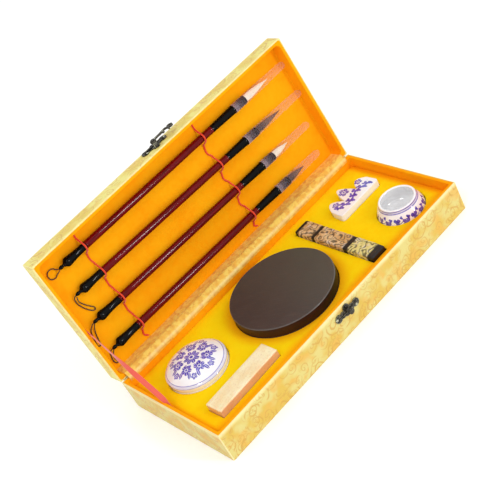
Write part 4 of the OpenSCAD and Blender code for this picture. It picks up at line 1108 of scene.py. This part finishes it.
lidOut = (lidTurn.to_3x3() @ Vector((0, -1, 0))).normalized()
metalPiece("catch_plate", "base", 0.2, Vector((0, -1, 0)))
metalPiece("catch_knob", "base", 0.15)
metalPiece("catch_nails", "base", 0.1, wearAndHighlight=0.0)
metalPiece("hasp_plate", "lid", 0.2, lidOut)
metalPiece("hasp_nails", "lid", 0.1, wearAndHighlight=0.0)
metalPiece("hook_rivet", "lid", 0.15)
metalPiece("hasp_hook", "hook", 0.35, name="bronze_horn_hook")
print("latch made")


# ---- ink stone and cover
def stonePiece(name, outline, height, node):
    piece = turned(name, outline, 160)
    r, c = inkStone["radius"], inkStone["chamfer"]
    # edge: painted highlight mask on the top's chamfer ring
    paintPoints(piece, "edge", lambda co: 1.0 if r - c - 0.05 < hypot(co.x, co.y) < r - 0.02 and co.z > 1 else 0.0)
    paintPoints(piece, "side", lambda co: 1.0 if hypot(co.x, co.y) > r - 0.05 else 0.0)
    seat(piece, node, slate, "slate", node, at=shift(inkStone["x"], inkStone["y"], height), shade=25)


r, well, h = inkStone["radius"], inkStone["radius"] - inkStone["rim"], inkStone["height"]
stonePiece("slate_ink_stone", [
    (0.05, 0), (20, 0), (r - 0.8, 0), (r - 0.2, 0.25), (r, 0.8), (r, h - 0.3), (r - 0.15, h), (well + 2.5, h),
    (well + 2.2, h + 1.3), (well + 2.0, h + 1.5), (well + 0.2, h + 1.5), (well, h + 1.3), (well - 0.8, h - 2.6),
    (well - 1.6, h - 3), (well - 8, h - 2.8), (0.05, h - 2.4)], inkStone["z"], "ink_stone")
hollow = well + 2.9
stonePiece("slate_ink_stone_cover", [
    (0.05, 3), (20, 3), (hollow - 0.8, 3), (hollow - 0.3, 2.6), (hollow, 0), (r - 0.15, 0), (r, 0.2), (r, 9.15),
    (r - 0.1, 9.4), (r - 0.62, 9.92), (r - 0.85, 10), (r - 1.0, 9.95), (r - 1.2, 9.95), (20, 9.95), (0.05, 9.95)],
    inkStone["z"] + h, "ink_stone_cover")
print("ink stone turned")


# ---- porcelain
def porcelain(piece, at, z, finish, node, angle=35):
    flat = [Vector((vertex.co.x, vertex.co.y, 0)).normalized() for vertex in piece.data.vertices]
    paint(piece, "outside", [float(v.normal.dot(outward) > 0.05) for v, outward in zip(piece.data.vertices, flat)])
    seat(piece, node, finish, "porcelain", node, at=shift(at["x"], at["y"], z), shade=angle)


r, w, b, s, d = (pasteBox[key] for key in ("radius", "wall", "bottom", "side", "dome"))
outer = smoothLine([(r * 0.72, 0), (r * 0.9, 0.9), (r - 0.5, 3.4), (r, 6)], 6)
bottomOutline = [(0.05, 1), (r * 0.66, 1), (r * 0.67, 0.2), (r * 0.69, 0)] + outer
bottomOutline += [
    (r, b - 0.3), (r - 0.3, b), (r - 1.56, b), (r - 1.7, b + 1.6), (r - 1.95, b + 1.8), (r - 3.4, b + 1.8),
    (r - 3.64, b + 1.55), (r - 3.64, b - 2), (r - 4.16, w + 1.6), (r - 5.7, w + 0.2), (0.05, w)]
porcelain(turned("porcelain_paste_box", bottomOutline, 120), pasteBox, pasteBox["z"], bottomGlaze, "paste_box")
inside = r - w * 1.6 - 0.4
paste = turned("red_seal_paste", [(0.05, -0.8), (inside - 1, -0.8), (inside, 0)]
               + smoothLine([(inside, 2.5), (inside * 0.7, 3.5), (0.05, 4.1)], 8), 72)
movePoints(paste, lambda co: co + Vector((0, 0, 0.35 * noise.noise(co * 0.35) if co.z > 1 else 0)))
pasteAt = shift(pasteBox["x"], pasteBox["y"], pasteBox["z"] + w + 1.6)
seat(paste, "paste_box", redPaste, "seal_paste", "seal_paste", at=pasteAt, shade=50)
domeOut = smoothLine([(r, s - 0.6), (r * 0.93, s + 1.4), (r * 0.74, s + d * 0.56), (r * 0.45, s + d * 0.86),
                      (0.05, s + d)], 10)
lidRim = [(r, 0.5), (r - 0.3, 0), (r - 1.1, 0), (r - 1.26, 0.1), (r - 1.26, pasteBox["lip"] + 0.4)]
lidInside = [(r - w + 0.1, pasteBox["lip"] + 0.5), (r - w, s - 1), (r * 0.74 - 1, s + d * 0.56 - w),
             (r * 0.45 - 0.6, s + d * 0.86 - w), (0.05, s + d - w)]
pasteLid = turned("porcelain_paste_lid", domeOut[::-1] + lidRim + lidInside, 160)
porcelain(pasteLid, pasteBox, pasteBox["z"] + b, lidGlaze, "paste_box_lid")

f, m, b, h, w = (waterDish[key] for key in ("foot", "mouth", "belly", "height", "wall"))
dishOutline = [(0.05, 1.2), (f - 2.4, 1.2), (f - 2.1, 0.2), (f - 1.8, 0), (f - 0.3, 0), (f, 0.3)]
dishOutline += smoothLine([(f, 0.8), (f + 4, 2.4), (b - 0.8, h * 0.3), (b, h * 0.46), (b - 1.6, h * 0.68),
                           (m + 0.9, h * 0.88), (m, h - 0.5)], 7)
dishOutline += [(m - 0.15, h - 0.2), (m - 0.5, h), (m - w + 0.7, h), (m - w + 0.2, h - 0.2)]
dishOutline += smoothLine([(m - w, h - 0.6), (b - w - 1.8, h * 0.66), (b - w, h * 0.46), (b - w - 1.2, h * 0.3),
                           (f + 1, w + 1.6), (f - 5, w + 0.6), (0.05, w + 0.4)], 7)
porcelain(turned("porcelain_water_dish", dishOutline, 120), waterDish, waterDish["z"], dishGlaze, "water_dish", 50)


def restOutline():
    half, foot, peak, c = brushRest["length"] / 2, brushRest["foot"], brushRest["peak"], brushRest["corner"]
    points = []
    for x, start in ((-half + c, 180), (half - c, 270)):
        points += [(x + c * cos(a), c + c * sin(a)) for a in [radians(start + 90 * k / 6) for k in range(7)]]
    for t in [k / 72 for k in range(1, 72)]:
        part = min(int(t * 3), 2)
        top = peak * brushRest["peaks"][part]
        points.append((half * (1 - 2 * t), foot + (top - foot) * max(0, sin(pi * (t * 3 - part))) ** 0.9))
    return points


outline = restOutline()
rest = added("porcelain_brush_rest", bpy.ops.mesh.primitive_circle_add, vertices=len(outline), radius=0.02,
             fill_type="NGON")
for vertex, point in zip(rest.data.vertices, outline):
    vertex.co = Vector((*point, 0)) * mm
with editing(rest):
    bpy.ops.mesh.extrude_region_move(TRANSFORM_OT_translate={"value": (0, 0, brushRest["thickness"] * mm)})
    bpy.ops.mesh.select_all(action="SELECT")
    bpy.ops.mesh.normals_make_consistent(inside=False)
    choose(rest, "EDGE", lambda e: abs(e.verts[0].co.z - e.verts[1].co.z) < 1e-6)
    bpy.ops.mesh.bevel(offset=brushRest["rounding"] * mm, segments=6, affect="EDGES", clamp_overlap=True)
porcelain(rest, brushRest, brushRest["z"], restGlaze, "brush_rest", 50)
print("porcelain glazed")


# ---- seal stone
sealStone = {"x": -102.0, "y": -37.0, "z": 8.5, "length": 74.0, "width": 20.0, "turn": 1.5, "bevel": 0.9, "cut": 1.6}


def cutBlock(name, size, top, bevel, cuts):  # a bevelled block with a grid of even cuts
    half = (size["length"] / 2, size["width"] / 2)
    piece = block(name, (-half[0], -half[1], 0), (*half, top))
    bevelSharp(piece, bevel, 3)
    with editing(piece):
        for axis, low, high in ((0, -half[0], half[0]), (1, -half[1], half[1]), (2, 0, size.get("height", top))):
            cutInto(axis, low, high, cuts[axis])
    return piece, half


seal, half = cutBlock("carved_seal_stone", sealStone, sealStone["width"], sealStone["bevel"], [sealStone["cut"]] * 3)


def worn(co):  # shallow tooling on the stone's faces
    chip = noise.noise(co * 0.5) + 0.5 * noise.noise(co * 1.3)
    inward = Vector((co.x / half[0], co.y / half[1], (co.z - half[1]) / half[1]))
    axis = max(range(3), key=lambda k: abs(inward[k]))
    co[axis] -= copysign(1, inward[axis]) * 0.09 * smoothStep(chip, 0.0, 0.5)
    return co


# side: painted shade mask, 1 below the top's edge
paintPoints(seal, "side", lambda co: 1 - smoothStep(co.z, sealStone["width"] - 1.6, sealStone["width"] - 0.6))
movePoints(seal, worn)
sealAt = shift(sealStone["x"], sealStone["y"], sealStone["z"]) @ turn(sealStone["turn"], "Z")
seat(seal, "seal_stone", sealMarble, "seal_stone", "seal_stone", at=sealAt, shade=40)
print("seal stone cut")


# ---- ink stick: three moulded panels of scrolls, gilded, with dark bands between
inkStick = {"x": 65.5, "z": 16.0, "length": 105.0, "width": 18.0, "height": 10.0, "bevel": 2.2, "relief": 0.55,
            "panels": ((-45.5, -18.6), (-14.0, 25.2), (28.4, 48.0)), "cuts": (0.62, 0.62, 0.93),
            "scroll": (0.11, 0.16, 0.16), "turns": 5.2}
flatTop = inkStick["height"] - inkStick["relief"]
stick, _ = cutBlock("moulded_ink_stick", inkStick, flatTop, inkStick["bevel"], inkStick["cuts"])


def panelShare(co):
    ends = [smoothStep(co.x, a, a + 0.9) * smoothStep(-co.x, -b, -b + 0.9) for a, b in inkStick["panels"]]
    return max(ends) * smoothStep(co.z, 1.5, 3.0)


def scroll(co):  # contour lines of a smooth field read as scrolls
    broad = Vector([a * b for a, b in zip(co, inkStick["scroll"])])
    return 0.5 + 0.5 * sin((noise.noise(broad) * 2.6 + noise.noise(co * 0.32) * 0.5) * inkStick["turns"])


def moulded(co):
    lift = panelShare(co) * inkStick["relief"] * (0.25 + 0.75 * smoothStep(scroll(co), 0.15, 0.55))
    if co.z > flatTop - inkStick["bevel"] * 0.6:
        co.z += lift
    elif abs(co.y) > inkStick["width"] / 2 - 0.4:
        co.y -= copysign(1, co.y) * (inkStick["relief"] * 0.7 - lift * 0.7)
    return co


paintPoints(stick, "gilt", lambda co: panelShare(co) * (0.2 + 0.8 * smoothStep(scroll(co), 0.1, 0.42)))
paintPoints(stick, "pale", lambda co: smoothStep(-co.x, 15.0, 17.0))
movePoints(stick, moulded)
stickAt = shift(inkStick["x"], 0, inkStick["z"]) @ turn(90, "Z")
seat(stick, "ink_stick", giltInk, "ink_stick", "ink_stick", at=stickAt, shade=55)
print("ink stick moulded")

# ---- what shows of the boards
for node in ("base_board", "lid_board"):
    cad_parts[node].data.materials.clear()
    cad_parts[node].data.materials.append(boardPaper)

# ---- floor, lights and background
studio = {"ambient": 0.88, "aim": (0, 0, 0.05), "floor": (0, 0, -0.0003), "lamps": (
    ("key", (-0.9, -0.6, 1.5), (0.34, 0.34), 4.0), ("front", (0.6, -1.7, 0.9), (0.08, 0.9), 8.6))}
floor = added("pale_floor", bpy.ops.mesh.primitive_plane_add, size=6, location=studio["floor"])
f = Finish("pale_floor", rough=0.9, specular=0.1)
seenDirect = Wire(f, f.nodes.new("ShaderNodeLightPath").outputs["Is Camera Ray"])
f.set(color=f.mix(f.clouds(3, 0.3, 0.7), "FDFDFC", "FFFFFF"), glow=f.mix(seenDirect, "000000", "686868"), glowLevel=1.0)
floor.data.materials.append(f.owner)
for name, lampPlace, size, watts in studio["lamps"]:
    aim = (Vector(studio["aim"]) - Vector(lampPlace)).to_track_quat("-Z", "Y").to_euler()
    bpy.ops.object.light_add(type="AREA", location=lampPlace, rotation=aim)
    lamp = bpy.context.object
    lamp.name = name
    lamp.data.shape, lamp.data.size, lamp.data.size_y, lamp.data.energy = "RECTANGLE", *size, watts


class Sky(Finish):  # dimmer as a light than as it is seen straight, mirrored or through something clear
    sockets = {"color": "Color", "level": "Strength"}

    def __init__(self):
        self.begin(bpy.data.worlds.new("studio"), "Background")
        rays = self.nodes.new("ShaderNodeLightPath").outputs
        seen = self.most(*[Wire(self, rays[f"Is {ray} Ray"]) for ray in ("Camera", "Glossy", "Transmission")])
        self.set(color="FFFFFF", level=self.add("ShaderNodeMapRange", {}, {0: seen, 3: studio["ambient"], 4: 1.0}))


bpy.context.scene.world = Sky().owner
bpy.context.scene.view_settings.view_transform = "Standard"
print("studio lit")
